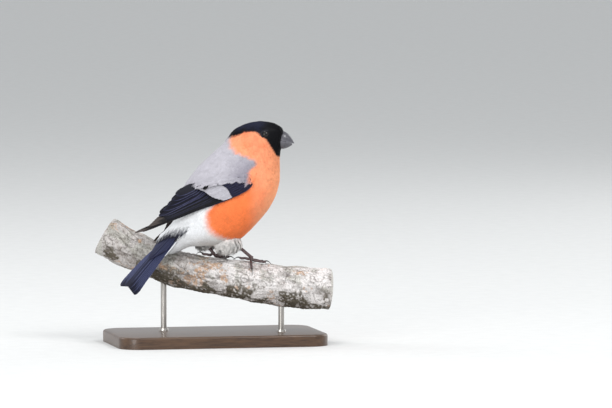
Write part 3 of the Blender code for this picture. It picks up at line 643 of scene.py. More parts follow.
def barb_colours(corners, tone):
    """Markings read at each barb's root and tip, a little darker at its root."""
    shape = corners.shape
    tips, in_cap, in_mantle, in_pale = markings(corners[:, :, 3, :].reshape(-1, 3), RAGGED_BARBS)
    roots = markings(corners[:, :, 0, :].reshape(-1, 3), RAGGED_BARBS)[0]
    tips, roots = (item.reshape(shape[0], shape[1], 3) for item in (tips, roots))
    colours = np.stack((roots, roots, 0.7 * roots + 0.3 * tips, tips), axis=2)
    shade = BARB_SHADE[None, None, :, None] * tone[:, None, None, None]
    groups = [item.reshape(shape[0], shape[1]).mean(axis=1) for item in (in_cap, in_mantle, in_pale)]
    return np.clip(colours * shade, 0.0, 1.0), groups


def bare_places(points, reach):
    """Places with no coat: round the eyes and at the very base of the bill."""
    bare = (reach < FACE_BARE[0]) & (face_front(points)[:, 2] > FACE_BARE[1])
    for eye in EYE_PLACES:
        spot = rotate_z(np.array(eye), HEAD_TURN, TURN_AXIS_X)
        bare |= np.linalg.norm(points - spot, axis=1) < EYE_CLEARING
    return bare


def make_coat():
    place, angle, points, normals = body_roots(BODY_TRIES)
    flow, reach = lie_of_coat(points, normals)
    hidden = under_wing(points) | bare_places(points, reach)
    place, angle, points, normals, flow, reach = (
        item[~hidden] for item in (place, angle, points, normals, flow, reach))
    length = np.interp(reach, HEAD_REACH, FEATHER_LENGTHS)
    spots = face_front(points)
    # the belly and the rump have longer and looser feathers
    loose = np.maximum(smooth(84.0, 72.0, spots[:, 2]), smooth(-12.0, -26.0, spots[:, 0]))
    length = length * (1.0 + 0.45 * loose) * random.uniform(0.88, 1.12, len(points))
    lift = 0.075 + 0.12 * loose + 0.025 * value_noise(points, 7.0, 11)
    flow = unit(flow + 0.10 * np.cross(normals, flow) * value_noise(points, 6.0, 12)[:, None])
    corners, fan_reach, across = fan_of_barbs(points, normals, flow, length, length * 0.78, lift)
    corners = clear_of_wings(corners)
    tone = 1.0 + random.normal(0.0, 0.035, len(points))
    colours, (cap, mantle, pale) = barb_colours(corners, tone)
    uv = patch_uv(place / LAST_STATION, 0.2 + 0.8 * (angle / TURN) % 1.0, fan_reach, across)
    feathers = (corners, colours, uv, normals)
    soft_coat = coat_material("body_feathers", 0.62, 0.12)
    dark_coat = coat_material("cap_feathers", 0.5, 0.0, 0.14, 0.3)
    is_cap = cap > 0.5
    is_mantle = ~is_cap & (mantle > 0.5)
    is_pale = ~is_cap & ~is_mantle & (pale > 0.5)
    warm = ~is_cap & ~is_mantle & ~is_pale
    high = spots[:, 2] > CHEEK_LOW
    left = points[:, 1] > 0.0
    groups = (
        ("coat_cap_left", is_cap & left, "plumage_black", dark_coat),
        ("coat_cap_right", is_cap & ~left, "plumage_black", dark_coat),
        ("coat_cheek", warm & high, "plumage_orange", soft_coat),
        ("coat_breast_left", warm & ~high & left, "plumage_orange", soft_coat),
        ("coat_breast_right", warm & ~high & ~left, "plumage_orange", soft_coat),
        ("coat_mantle", is_mantle, "plumage_white", soft_coat),
        ("coat_belly", is_pale, "plumage_white", soft_coat),
    )
    for name, chosen, slot, material in groups:
        make_coat_piece(name, chosen, feathers, material)


SHOULDER_LOW = ((-2.0, 3.0), (1.0, 3.6), (7.8, 6.6), (16.0, 8.4), (20.0, 8.2), (26.0, 9.0), (33.0, 10.8))
SHOULDER_LIFTS = ((-3.5, -0.45), (0.0, 1.45), (3.0, 2.1), (38.0, 1.85))
SHOULDER_TRIES = 15000
SHOULDER_SPACING = 0.82


def make_shoulder(name, wing):
    """Feathers over the front and the upper coverts of a wing, on an unwrap of the wing's own shape."""
    along = random.uniform(-3.2, 31.6, SHOULDER_TRIES)
    up = random.uniform(-4.0, 16.5, len(along))
    low, high = wing_edges(along)
    grey = (along > 0.6) & (up > table_at(SHOULDER_LOW, along) + 1.3) & (up < high + 1.2)
    front = (along < 1.9 + 0.7 * np.sin(1.3 * up)) & (up > np.maximum(low - 2.0, -3.4)) & (up < high + 1.5)
    keep = grey | front
    along, up = along[keep], up[keep]

    def over(a, b):
        return wing_points(wing, a, b, table_at(SHOULDER_LIFTS, a))

    points = over(along, up)
    back = over(along + 0.4, up + 0.04) - points
    rise = over(along, up + 0.4) - points
    normals = unit(np.cross(back, rise))
    normals = normals * np.sign(normals[:, 1:2] * wing["side"])
    chosen = spread_out(points, np.full(len(points), SHOULDER_SPACING))
    along, up, points, normals, back = (item[chosen] for item in (along, up, points, normals, back))
    length = random.uniform(2.8, 3.8, len(points))
    corners, reach, across = fan_of_barbs(points, normals, unit(back), length, length * 0.66,
                                          np.full(len(points), 0.05), 0.5)
    spots = corners[:, :, 3, :].reshape(-1, 3)
    tip_along, tip_up = wing_place(wing, spots)
    # painted shade: the shoulder's grey darkens towards the wrist and the wing's lower edge
    grey = mix(MANTLE, MANTLE_PAINTED_SHADE, smooth(30.0, 6.0, tip_along + 1.2 * tip_up - 6.0))
    grey = mix(grey, BAR["tip"], smooth(22.0, 33.0, tip_along + 0.3 * value_noise(spots, 2.0, 51)) * 0.55)
    grey = grey * (1.0 + 0.05 * value_noise(spots, 3.0, 52))[:, None]
    tone = mix(markings(spots, RAGGED_BARBS)[0], grey, smooth(3.0, 7.5, tip_along))
    shade = BARB_SHADE[None, None, :, None] * random.normal(1.0, 0.035, (len(points), 1, 1, 1))
    colours = np.clip(tone.reshape(len(points), BARBS, 1, 3) * shade, 0.0, 1.0)
    uv = patch_uv(along / 80.0 + 0.06, up / 40.0 + 0.12, reach, across)
    material = coat_material(f"{name}_shoulder", 0.6, 0.08)
    piece = mesh_from_barbs(f"{name}_shoulder", corners, colours, uv, material, normals)
    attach(piece, "root")


THIGH_PALE = (0.74, 0.715, 0.69)
THIGH_TRIES = 9000
THIGH_SPACING = 0.78
# The thighs' feathers hang down and back towards this height and this far behind
THIGH_GOAL_HEIGHT = 48.0
THIGH_GOAL_BEHIND = 14.0


def make_thigh_coat():
    for name, thigh in zip(("left", "right"), THIGHS):
        u = np.arccos(random.uniform(-0.97, 0.97, THIGH_TRIES)) / np.pi
        v = random.uniform(0.0, 1.0, len(u))
        points = thigh_points(thigh, u, v)
        normals = unit((points - thigh_points(thigh, u, v, -0.5)))
        chosen = spread_out(points, np.full(len(points), THIGH_SPACING))
        u, v, points, normals = (item[chosen] for item in (u, v, points, normals))
        inside = under_body(points)
        u, v, points, normals = (item[~inside] for item in (u, v, points, normals))
        goal = np.array((thigh[0][0] - THIGH_GOAL_BEHIND, thigh[0][1] * 0.9, THIGH_GOAL_HEIGHT))
        flow = unit(goal - points)
        flow = unit(flow - normals * np.sum(flow * normals, axis=1, keepdims=True))
        flow = unit(flow + np.cross(normals, flow) * random.normal(0.0, 0.22, (len(points), 1)))
        length = random.uniform(3.4, 7.4, len(points))
        lift = random.uniform(0.04, 0.30, len(points))
        corners, reach, across = fan_of_barbs(points, normals, flow, length, length * 0.5, lift, 0.35, 0.36)
        tone = 1.0 + random.normal(0.0, 0.07, len(points))
        shade = BARB_SHADE[None, None, :, None] * tone[:, None, None, None]
        colours = np.broadcast_to(np.clip(shade * np.array(THIGH_PALE), 0.0, 1.0), corners.shape)
        uv = patch_uv(0.25 * u, 0.18 * v, reach, across)
        material = coat_material("thigh_feathers", 0.65, 0.1)
        piece = mesh_from_barbs(f"coat_thigh_{name}", corners, colours, uv, material, normals)
        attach(piece, "root")


# Wings and tail, feather by feather

WINGS = {
    "wing_right": dict(side=-1.0, wrist=(20.4, 109.7), slope=math.radians(23.5), stretch=0.96,
                       draw=0.31, fan=0.0),
    "wing_left": dict(side=1.0, wrist=(27.2, 114.2), slope=math.radians(33.6), stretch=0.93,
                      draw=0.24, fan=0.6),
}
WING_CLEARANCE = 0.75
WING_WIDE = 24.6
WING_TOP = 16.8
# Stretches along the wing from its wrist: where it leaves the breast, draws in, narrows and fans out
WING_LEAVES_BREAST = (-4.0, 26.0)
WING_DRAW_FROM = 24.0
WING_TOP_NARROWS = (44.0, 74.0)
WING_TOP_LOSS = 6.5
WING_FAN = (50.0, 72.0)
FEATHER_THICKNESS = 0.16

# Feather finishes: centre, edge and tip colours, linear, and how wide the edge and the tip are
# The blue edge colours of NAVY, TERTIAL, PATCH, TAIL_FINISH and WEDGE are painted sheen, where the glossy
# blue-black feathers catch the light
NAVY = dict(centre=(0.003, 0.003, 0.005), edge=(0.036, 0.038, 0.080), tip=(0.008, 0.008, 0.014),
            rim=0.12, end=0.05)
PRIMARY = dict(centre=(0.003, 0.003, 0.004), edge=(0.034, 0.030, 0.032), tip=(0.070, 0.058, 0.054),
               rim=0.12, end=0.14)
TERTIAL = dict(centre=(0.007, 0.007, 0.013), edge=(0.066, 0.070, 0.140), tip=(0.018, 0.019, 0.036),
               rim=0.14, end=0.05)
BAR = dict(centre=(0.012, 0.012, 0.022), edge=(0.35, 0.34, 0.38), tip=(0.42, 0.41, 0.45),
           rim=0.03, end=0.47)
PATCH = dict(centre=(0.008, 0.008, 0.019), edge=(0.030, 0.030, 0.066), tip=(0.014, 0.014, 0.032),
             rim=0.25, end=0.2)
SNOW = dict(centre=(0.80, 0.82, 0.86), edge=(0.86, 0.88, 0.91), tip=(0.88, 0.90, 0.92), rim=0.3, end=0.2)
TAIL_FINISH = dict(centre=(0.014, 0.016, 0.036), edge=(0.068, 0.078, 0.158), tip=(0.010, 0.010, 0.020),
                   rim=0.32, end=0.05)
WEDGE = dict(centre=(0.018, 0.020, 0.042), edge=(0.045, 0.050, 0.105), tip=(0.020, 0.021, 0.046),
             rim=0.3, end=0.1)

# Tiers of the wing: the first and the last feather's root and tip as (along, up), half widths,
# lift over the wing's surface, tilt of each blade, the finish, and how blunt the tips are
WING_TIERS = (
    dict(name="primaries", count=8, roots=((36.0, -1.2), (44.0, 2.0)), tips=((82.0, -1.2), (70.0, 3.2)),
         longest=2, longest_tip=87.0, half_width=(1.15, 1.7), lift=0.70, tilt=0.26, finish=PRIMARY,
         blunt=0.62),
    # edges scales the secondaries' painted sheen: faint on the lowest feather, painted as lying in shade,
    # and strong on the highest
    dict(name="secondaries", count=9, roots=((20.0, -0.9), (30.0, 9.4)), tips=((64.0, -0.1), (66.0, 6.0)),
         half_width=(1.7, 2.2), lift=1.20, tilt=0.26, finish=NAVY, blunt=0.78, edges=(0.05, 1.5)),
    dict(name="tertials", count=5, roots=((30.0, 8.6), (35.0, 13.4)), tips=((67.5, 4.6), (50.5, 12.8)),
         half_width=(2.1, 2.3), lift=1.60, tilt=0.24, finish=TERTIAL, blunt=0.55),
    dict(name="primary_coverts", count=5, roots=((8.0, -1.5), (18.0, -1.3)),
         tips=((24.0, -2.0), (38.0, -0.9)),
         half_width=(1.0, 1.2), lift=1.45, tilt=0.18, finish=NAVY, blunt=0.7),
    dict(name="greater_coverts", count=10, roots=((7.0, -0.4), (21.0, 12.4)),
         tips=((24.8, -0.7), (37.0, 12.4)),
         half_width=(1.45, 1.9), lift=1.95, tilt=0.18, finish=BAR, blunt=0.80, pale_ends=(0.52, 1.35),
         uneven=1.0),
    dict(name="alula", count=2, roots=((1.0, -0.8), (2.0, 0.4)), tips=((17.0, -1.9), (12.5, -0.6)),
         half_width=(1.1, 1.2), lift=1.95, tilt=0.14, finish=NAVY, blunt=0.72),
    dict(name="patch_coverts", count=8, roots=((3.5, -0.8), (10.0, 8.6)), tips=((16.4, -1.3), (20.2, 8.6)),
         half_width=(1.6, 1.9), lift=2.25, tilt=0.14, finish=PATCH, blunt=0.74, uneven=0.9),
    dict(name="lesser_coverts", count=6, roots=((-0.2, 0.6), (4.4, 6.0)), tips=((8.6, -0.9), (13.4, 7.2)),
         half_width=(1.5, 1.9), lift=2.45, tilt=0.12, finish=PATCH, blunt=0.86),
)

TAIL_ROOT = np.array((-25.5, -3.0, 77.0))
TAIL_TIP = np.array((-62.1, -7.5, 38.2))
TAIL_ROLL = math.radians(-28.0)
TAIL_LENGTH = math.dist(TAIL_ROOT, TAIL_TIP)
TAIL_BOW = 1.4
TAIL_SPREAD = 7.6


def wing_points(wing, along, up, lift):
    """Points over the wing: along it from the wrist, up across it, and lifted off the body."""
    slope = wing["slope"]
    back = along * wing["stretch"]
    up = up * (1.0 + wing["fan"] * smooth(*WING_FAN, along))
    x = wing["wrist"][0] - back * np.cos(slope) - up * np.sin(slope)
    z = wing["wrist"][1] - back * np.sin(slope) + up * np.cos(slope)
    hug = flank(x, z, WING_CLEARANCE)
    line = WING_WIDE - wing["draw"] * np.maximum(0.0, along - WING_DRAW_FROM)
    reach = WING_TOP - WING_TOP_LOSS * smooth(*WING_TOP_NARROWS, along)
    bend = np.sqrt(np.maximum(0.02, 1.0 - (np.maximum(up, 0.0) / reach) ** 2))
    free = line * bend * smooth(*WING_LEAVES_BREAST, along)
    width = 0.5 * (hug + free + np.sqrt((hug - free) ** 2 + 0.6))
    return np.stack((x, wing["side"] * (width + lift), z), axis=-1)


def wing_place(wing, points):
    """Along and up coordinates of points over a wing."""
    dx = wing["wrist"][0] - points[..., 0]
    dz = points[..., 2] - wing["wrist"][1]
    slope = wing["slope"]
    along = (dx * np.cos(slope) - dz * np.sin(slope)) / wing["stretch"]
    return along, dx * np.sin(slope) + dz * np.cos(slope)


def wing_edges(along):
    """Lower and upper edge of the folded wing."""
    low = np.interp(along, (-2.0, 2.0, 10.0, 30.0, 86.0), (4.0, 0.0, -2.4, -2.6, -2.0))
    high = np.interp(along, (-2.0, 2.0, 10.0, 20.0, 38.0, 50.0, 62.0, 86.0),
                     (5.0, 7.0, 10.5, 13.2, 14.6, 13.6, 8.0, 0.5))
    return low, high


def wing_depth(wing, points):
    """How far points lie inside the wing's outline in the side view, in millimetres."""
    along, up = wing_place(wing, points)
    low, high = wing_edges(along)
    inside = np.minimum(np.minimum(up - low, high - up), np.minimum(along + 1.0, 84.0 - along))
    return np.where(points[..., 1] * wing["side"] > 0.0, inside, -10.0)


def under_wing(points):
    """Roots inside the outline of a folded wing, but for those that overlap its front and shoulder."""
    hidden = np.zeros(len(points), dtype=bool)
    for wing in WINGS.values():
        along, up = wing_place(wing, points)
        low, high = wing_edges(along)
        over = 2.6 * smooth(35.0, 27.0, along)
        inside = (up > low + 0.2 + 2.0 * smooth(8.0, 2.0, along)) & (up < high - over) & (along > 1.6)
        hidden |= inside & (along < 82.0) & (points[:, 1] * wing["side"] > 0.0)
    return hidden


def wing_width_table(wing):
    """Reach sideways of the wing's outer face on a grid of the side view."""
    along, up = np.meshgrid(np.linspace(-6.0, 90.0, 97), np.linspace(-6.0, 18.0, 25), indexing="ij")
    return np.abs(wing_points(wing, along, up, 2.9)[..., 1])


def clear_of_wings(corners):
    """Feathers that run over a wing's edge lie on the wing, not in it."""
    for wing in WINGS.values():
        table = wing_width_table(wing)
        along, up = wing_place(wing, corners)
        row = np.clip(along + 6.0, 0.0, 95.99)
        column = np.clip(up + 6.0, 0.0, 23.99)
        i, j = row.astype(int), column.astype(int)
        a, b = row - i, column - j
        width = ((table[i, j] * (1 - a) + table[i + 1, j] * a) * (1 - b)
                 + (table[i, j + 1] * (1 - a) + table[i + 1, j + 1] * a) * b)
        depth = wing_depth(wing, corners)
        want = (width - 1.9 + 2.1 * smooth(0.0, 2.4, depth)) * wing["side"]
        low = wing_edges(along)[0]
        above = (along < 38.0) & (up > low + 3.0) | (along < 7.0)
        short = (depth > -1.2) & (np.abs(corners[..., 1]) < np.abs(want)) & above
        part = smooth(-1.2, 1.0, depth)
        corners[..., 1] = np.where(short, corners[..., 1] * (1 - part) + want * part, corners[..., 1])
    return corners


def under_body(points):
    """Points of the thighs that lie inside the body."""
    return np.abs(points[:, 1]) < flank(points[:, 0], points[:, 2], -0.8)


def blade_shape(u, blunt):
    """Width of a feather's blade from its root to its tip, between 0 and 1."""
    end = np.clip((u - blunt) / (1.0 - blunt), 0.0, 1.0)
    return (0.55 + 0.45 * smooth(0.0, 0.22, u)) * np.sqrt(np.maximum(0.0, 1.0 - 0.985 * end ** 2.2))


def barb_waves(u, v, seed):
    """Fine unevenness of a blade: slanting barbs and a few small gaps at its edge."""
    slant = u * 60.0 + np.abs(v) * 9.0 + seed
    return 0.03 * np.sin(slant * 2.1) + 0.02 * np.sin(slant * 5.3 + seed)


def feather_blade(surface, root, tip, half_width, lift, tilt, blunt, seed, steps=(34, 10)):
    """A thin closed blade with a raised shaft; surface(along, up, lift) lays it over the wing."""
    run, rise = tip[0] - root[0], tip[1] - root[1]
    length = math.hypot(run, rise)
    bend = 0.012 * length * math.sin(seed * 1.7)

    def place(u, v, below):
        gone = 1.0 - (1.0 - u) ** 1.45
        shape = blade_shape(gone, blunt) * (1.0 + barb_waves(gone, v, seed))
        across = (2.0 * v - 1.0) * half_width * shape
        sunk = 1.0 * (1.0 - smooth(0.0, 0.3, gone))
        shaft = 0.16 * np.exp(-(across / 0.22) ** 2) * (1.0 - 0.7 * gone)
        cup = 0.10 * (1.0 - (2.0 * v - 1.0) ** 2) * half_width * 0.5
        height = lift - tilt * (across + half_width) - sunk + cup + (0.0 if below else 1.0) * shaft
        height = height - (FEATHER_THICKNESS * (0.4 + 0.6 * shape) if below else 0.0)
        height = np.maximum(height, 0.12 if below else 0.12 + FEATHER_THICKNESS)
        side = across + bend * np.sin(np.pi * gone)
        return surface(root[0] + run * gone - rise / length * side,
                       root[1] + rise * gone + run / length * side, height)

    return steps, place


def blade_colours(finish, u, v, seed):
    """Colour over a blade: its centre, its outer edge and its tip."""
    gone = 1.0 - (1.0 - u) ** 1.45
    # on the glossy feathers the edge colour is painted sheen; on the tail and the wedge it runs along both
    # edges
    rim = smooth(1.0 - 2.0 * finish["rim"], 1.0, 1.0 - 2.0 * v)
    if finish in (TAIL_FINISH, WEDGE):
        rim = smooth(1.0 - 1.2 * finish["rim"], 1.0, np.abs(2.0 * v - 1.0))
    end = smooth(1.0 - finish["end"] - 0.07, 1.0 - finish["end"] + 0.05,
                 gone + 0.05 * np.sin(9.0 * v + seed))
    colour = mix(np.broadcast_to(finish["centre"], (*u.shape, 3)), finish["edge"], rim)
    colour = mix(colour, finish["tip"], end)
    streak = 1.0 + 0.10 * np.sin(gone * 120.0 + np.abs(2.0 * v - 1.0) * 16.0 + seed)
    return colour * (streak * (1.0 + 0.06 * math.sin(seed * 3.1)))[..., None]


def add_blade(mesh, layer, tint, blade, finish, seed, cell):
    """Add a closed blade to a piece: a grid pushed out to a plate, with its colour and its own UV cell."""
    steps, place = blade
    made = bmesh.ops.create_grid(mesh, x_segments=steps[0], y_segments=steps[1], size=0.5)["verts"]
    faces = list({face for vert in made for face in vert.link_faces})
    u = np.array([vert.co.x + 0.5 for vert in made])
    v = np.array([vert.co.y + 0.5 for vert in made])
    spot = {vert: index for index, vert in enumerate(made)}
    for face in faces:
        for loop in face.loops:
            index = spot[loop.vert]
            loop[layer].uv = (cell[0] + cell[2] * u[index], cell[1] + cell[3] * v[index])
    grown = bmesh.ops.extrude_face_region(mesh, geom=faces)["geom"]
    under = [item for item in grown if isinstance(item, bmesh.types.BMVert)]
    under_u = np.array([vert.co.x + 0.5 for vert in under])
    under_v = np.array([vert.co.y + 0.5 for vert in under])
    for verts, us, vs, below in ((made, u, v, False), (under, under_u, under_v, True)):
        points = place(us, vs, below)
        colours = blade_colours(finish, us, vs, seed)
        for vert, point, colour in zip(verts, points, colours):
            vert.co = point
            vert[tint] = (*np.clip(colour, 0.0, 1.0), 1.0)


def blade_piece(name, blades, material, replaces=()):
    """One piece from a list of (blade, finish, seed)."""
    mesh = bmesh.new()
    layer = mesh.loops.layers.uv.new(BAKE_MAP)
    tint = mesh.verts.layers.float_color.new(PAINT)
    rows = max(1, len(blades))
    for index, (blade, finish, seed) in enumerate(blades):
        add_blade(mesh, layer, tint, blade, finish, seed, (0.01, (index + 0.05) / rows, 0.98, 0.9 / rows))
    bmesh.ops.recalc_face_normals(mesh, faces=mesh.faces)
    piece = make_piece(name, mesh, material, sharp=50.0)
    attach(piece, "root")
    if replaces:
        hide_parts(*replaces)


def between(pair, part):
    return tuple(a + (b - a) * part for a, b in zip(*pair))


def tier_blades(surface, tier):
    made = []
    for index in range(tier["count"]):
        part = index / (tier["count"] - 1)
        root = between(tier["roots"], part)
        tip = between(tier["tips"], part)
        if "longest" in tier and index <= tier["longest"]:
            tip = (tip[0] + (tier["longest_tip"] - tip[0]) * index / tier["longest"], tip[1])
        wide = tier["half_width"][0] + (tier["half_width"][1] - tier["half_width"][0]) * part
        seed = index * 1.37 + tier["count"]
        tip = (tip[0] + tier.get("uneven", 0.0) * math.sin(seed * 4.1), tip[1])
        lift = tier["lift"] + 0.02 * index
        steps = (max(16, int(abs(tip[0] - root[0]) * 0.9)), 8)
        blade = feather_blade(surface, root, tip, wide, lift, tier["tilt"], tier["blunt"], seed, steps)
        finish = dict(tier["finish"])
        if "pale_ends" in tier:
            low, high = tier["pale_ends"]
            finish["end"] = low + (high - low) * part
        # edges scales the painted edge sheen from the first feather to the last
        if "edges" in tier:
            low, high = tier["edges"]
            finish["edge"] = tuple(value * (low + (high - low) * part) for value in finish["edge"])
        made.append((blade, finish, seed))
    return made


def make_wing(name, wing):
    def surface(along, up, lift):
        return wing_points(wing, along, up, lift)

    vane = vane_material(f"{name}_feathers")
    for tier in WING_TIERS:
        replaces = (name,) if tier["name"] == "secondaries" else ()
        blade_piece(f"{name}_{tier['name']}", tier_blades(surface, tier), vane, replaces)


def tail_points(along, across, lift):
    """Points over the tail: along it, across it towards the left side, and above it."""
    axis = TAIL_TIP - TAIL_ROOT
    length = np.linalg.norm(axis)
    ahead = axis / length
    left = np.cross(ahead, (0.0, 0.0, 1.0))
    left = left / np.linalg.norm(left)
    if left[1] < 0.0:
        left = -left
    above = np.cross(left, ahead)
    if above[2] < 0.0:
        above = -above
    turned = left * math.cos(TAIL_ROLL) - above * math.sin(TAIL_ROLL)
    raised = above * math.cos(TAIL_ROLL) + left * math.sin(TAIL_ROLL)
    gone = along / TAIL_LENGTH
    bow = TAIL_BOW * np.sin(np.pi * np.clip(gone, 0.0, 1.0))
    return (TAIL_ROOT + ahead * (gone * length)[..., None] + turned * across[..., None]
            + raised * (lift + bow)[..., None])


def tail_blade(side, index, count, lift, reach, roots, spread, half_width, tilt, seed, blunt=0.9):
    part = index / max(1, count - 1)
    root = (0.03 * TAIL_LENGTH, side * (0.4 + roots * index))
    tip = (reach * TAIL_LENGTH, side * (spread[0] + (spread[1] - spread[0]) * part))

    steps = (44, 8)
    run, rise = tip[0] - root[0], tip[1] - root[1]
    length = math.hypot(run, rise)

    def place(u, v, below):
        gone = 1.0 - (1.0 - u) ** 1.3
        narrowed = 0.6 + 0.4 * smooth(0.1, 0.6, gone)
        shape = blade_shape(gone, blunt) * (1.0 + barb_waves(gone, v, seed)) * narrowed
        across = (2.0 * v - 1.0) * half_width * shape
        shaft = 0.15 * np.exp(-(across / 0.22) ** 2) * (1.0 - 0.7 * gone)
        height = lift - tilt * side * across + (-FEATHER_THICKNESS if below else shaft)
        return tail_points(root[0] + run * gone - rise / length * across,
                           root[1] + rise * gone + run / length * across, height)

    return steps, place


def make_tail():
    vane = vane_material("tail_feathers")
    feathers = [(tail_blade(side, index, 6, 1.0 - 0.34 * index + 0.04 * side, 0.975 + 0.006 * index, 0.40,
                            (1.2, TAIL_SPREAD), 2.5, 0.05, index * 1.9 + side),
                 TAIL_FINISH, index * 1.9 + side)
                for index in range(6) for side in (-1.0, 1.0)]
    blade_piece("tail_rectrices", feathers, vane, ("tail",))
    upper = [(tail_blade(side, index, 4, 2.3 - 0.28 * index + 0.05 * side, 0.52 - 0.05 * index, 0.6,
                         (0.9, 4.0), 1.9, 0.08, index + 5.0 * side, 0.8), WEDGE, index + 0.5 * side)
             for index in range(4) for side in (-1.0, 1.0)]
    blade_piece("tail_upper_coverts", upper, vane)
    lower = [(tail_blade(side, index, 5, -2.0 + 0.3 * index + 0.05 * side, 0.62 - 0.05 * index, 0.7,
                         (0.8, 4.6), 2.1, 0.06, index + 3.0 * side, 0.8), SNOW, index + 0.5 * side)
             for index in range(5) for side in (-1.0, 1.0)]
    blade_piece("tail_lower_coverts", lower, coat_material("tail_covert_feathers", 0.6, 0.1))


def vane_material(name):
    """Glossy flight feathers: fine slanting barbs and a soft sheen."""
    made = shader_material(name, 0.46, specular=0.10)
    nodes = Nodes(made)
    vector = nodes.object_coordinates((1.0, 1.0, 1.0))
    wave = nodes.add("ShaderNodeTexWave", bands_direction="DIAGONAL", Scale=260.0, Distortion=1.2,
                     Detail=2.0)
    nodes.link(vector, wave.inputs["Vector"])
    grain = nodes.noise(vector, 900.0, 3.0)
    nodes.bump(nodes.blend(0.4, wave.outputs["Fac"], grain), 0.25, 0.00008)
    nodes.painted(grain, 0.82)
    return made


# Bill, eyes and lids

BILL_ROWS = np.array((
    # x, top, bottom, half width
    (41.5, 142.2, 133.6, 3.6),
    (44.5, 144.0, 132.0, 4.6),
    (47.0, 144.1, 131.9, 4.6),
    (49.2, 143.0, 132.5, 4.0),
    (51.0, 141.5, 133.3, 3.2),
    (52.4, 139.8, 134.2, 2.3),
    (53.6, 137.9, 135.0, 1.3),
    (54.4, 136.0, 135.6, 0.0),
))
MOUTH_LINE = ((41.0, 139.2), (54.4, 135.4))
MOUTH_GAP = 0.26
LOWER_BILL_END = 52.9
NOSTRIL = (46.4, 3.2, 142.4)
EYE_CENTRE = (34.4, 10.2, 142.4)
EYE_RADIUS = 2.9
LID_RADIUS = 2.5
HORN = (0.048, 0.048, 0.058)
# Pale horn of the mouth's edges, and the painted highlight towards the bill's base
PALE_HORN_AND_HIGHLIGHT = (0.22, 0.215, 0.25)


def bill_points(u, v):
    """The bill's surface, closed inside the head by a flat cap at its root."""
    part = np.clip((u - 0.05) / 0.95, 0.0, 1.0)
    cap = np.clip(u / 0.05, 0.0, 1.0)
    x, top, bottom, width = np.moveaxis(spline_rows(BILL_ROWS, part * (len(BILL_ROWS) - 1)), -1, 0)
    end = part > 0.9999
    angle = TURN * v
    # the ridge of the culmen and the keel below are a little sharper than an ellipse
    sine = np.sign(np.sin(angle)) * np.abs(np.sin(angle)) ** 1.08
    height = np.where(end, 0.0, (top - bottom) / 2.0) * cap
    reach = np.where(end, 0.0, np.maximum(width, 0.0)) * cap
    grain = 0.035 * np.sin(x * 3.4 + 0.8 * np.cos(angle * 3.0)) * cap * (1.0 - part)
    points = np.stack((x, -(reach + grain) * sine,
                       (top + bottom) / 2.0 + (height + grain) * np.cos(angle)), axis=-1)
    for side in (-1.0, 1.0):
        spot = np.array((NOSTRIL[0], side * NOSTRIL[1], NOSTRIL[2]))
        pit = np.exp(-(np.linalg.norm((points - spot) * (0.75, 1.0, 1.2), axis=-1) / 0.6) ** 2)
        points[..., 1] -= side * 0.7 * pit
    return turn_head(points)


def mouth_plane():
    rear, front = (turn_head(np.array((x, 0.0, z))) for x, z in MOUTH_LINE)
    side = rotate_z(np.array((0.0, 1.0, 0.0)), HEAD_TURN, 0.0)
    up = np.cross(front - rear, side)
    up = up / np.linalg.norm(up)
    return rear, up if up[2] > 0.0 else -up


def keep_side(mesh, point, normal):
    """Cut a closed mesh by a plane, keep the side that the normal points to, and close it."""
    bmesh.ops.bisect_plane(mesh, geom=[*mesh.verts, *mesh.edges, *mesh.faces], dist=1e-5,
                           plane_co=tuple(point), plane_no=tuple(normal), clear_inner=True)
    rim = [edge for edge in mesh.edges if edge.is_boundary]
    bmesh.ops.holes_fill(mesh, edges=rim)
    bmesh.ops.recalc_face_normals(mesh, faces=mesh.faces)


def horn_material(name, roughness=0.32):
    made = shader_material(name, roughness, specular=0.5, coat=0.15)
    nodes = Nodes(made)
    vector = nodes.object_coordinates((1.0, 1.0, 0.35))
    grain = nodes.noise(vector, 1400.0, 5.0)
    streak = nodes.noise(nodes.object_coordinates((0.3, 1.0, 1.0)), 2600.0, 3.0)
    nodes.painted(grain, 0.70, (0.25, 0.75))
    nodes.bump(nodes.blend(0.5, grain, streak), 0.30, 0.00006)
    return made


def make_bill():
    rear, up = mouth_plane()
    horn = horn_material("bill_horn")
    for name, sign in (("bill_upper", 1.0), ("bill_lower", -1.0)):
        mesh = mapped_grid(90, 96, bill_points)
        keep_side(mesh, rear + up * sign * MOUTH_GAP / 2.0, up * sign)
        if sign < 0.0:
            ahead = rotate_z(np.array((1.0, 0.0, 0.0)), HEAD_TURN, 0.0)
            keep_side(mesh, turn_head(np.array((LOWER_BILL_END, 0.0, 135.6))), -ahead)
        points = vertex_array(mesh)
        edge = np.abs((points - rear) @ up)
        # paler along the mouth's edge, where the horn is paler, and towards the base, where a highlight is
        # painted
        pale = np.exp(-edge / 0.7) * 0.5 + 0.35 * smooth(47.0, 43.0, points[:, 0]) + 0.15
        colours = mix(np.broadcast_to(HORN, points.shape), PALE_HORN_AND_HIGHLIGHT, np.clip(pale, 0.0, 1.0))
        piece = make_piece(f"{name}_horn", mesh, horn, colours, sharp=55.0)
        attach(piece, "root")
        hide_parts(name)


def eye_place(side):
    centre = turn_head(np.array((EYE_CENTRE[0], side * EYE_CENTRE[1], EYE_CENTRE[2])))
    look = rotate_z(unit(np.array((0.22, side * 0.96, 0.12))), HEAD_TURN, 0.0)
    return centre, look


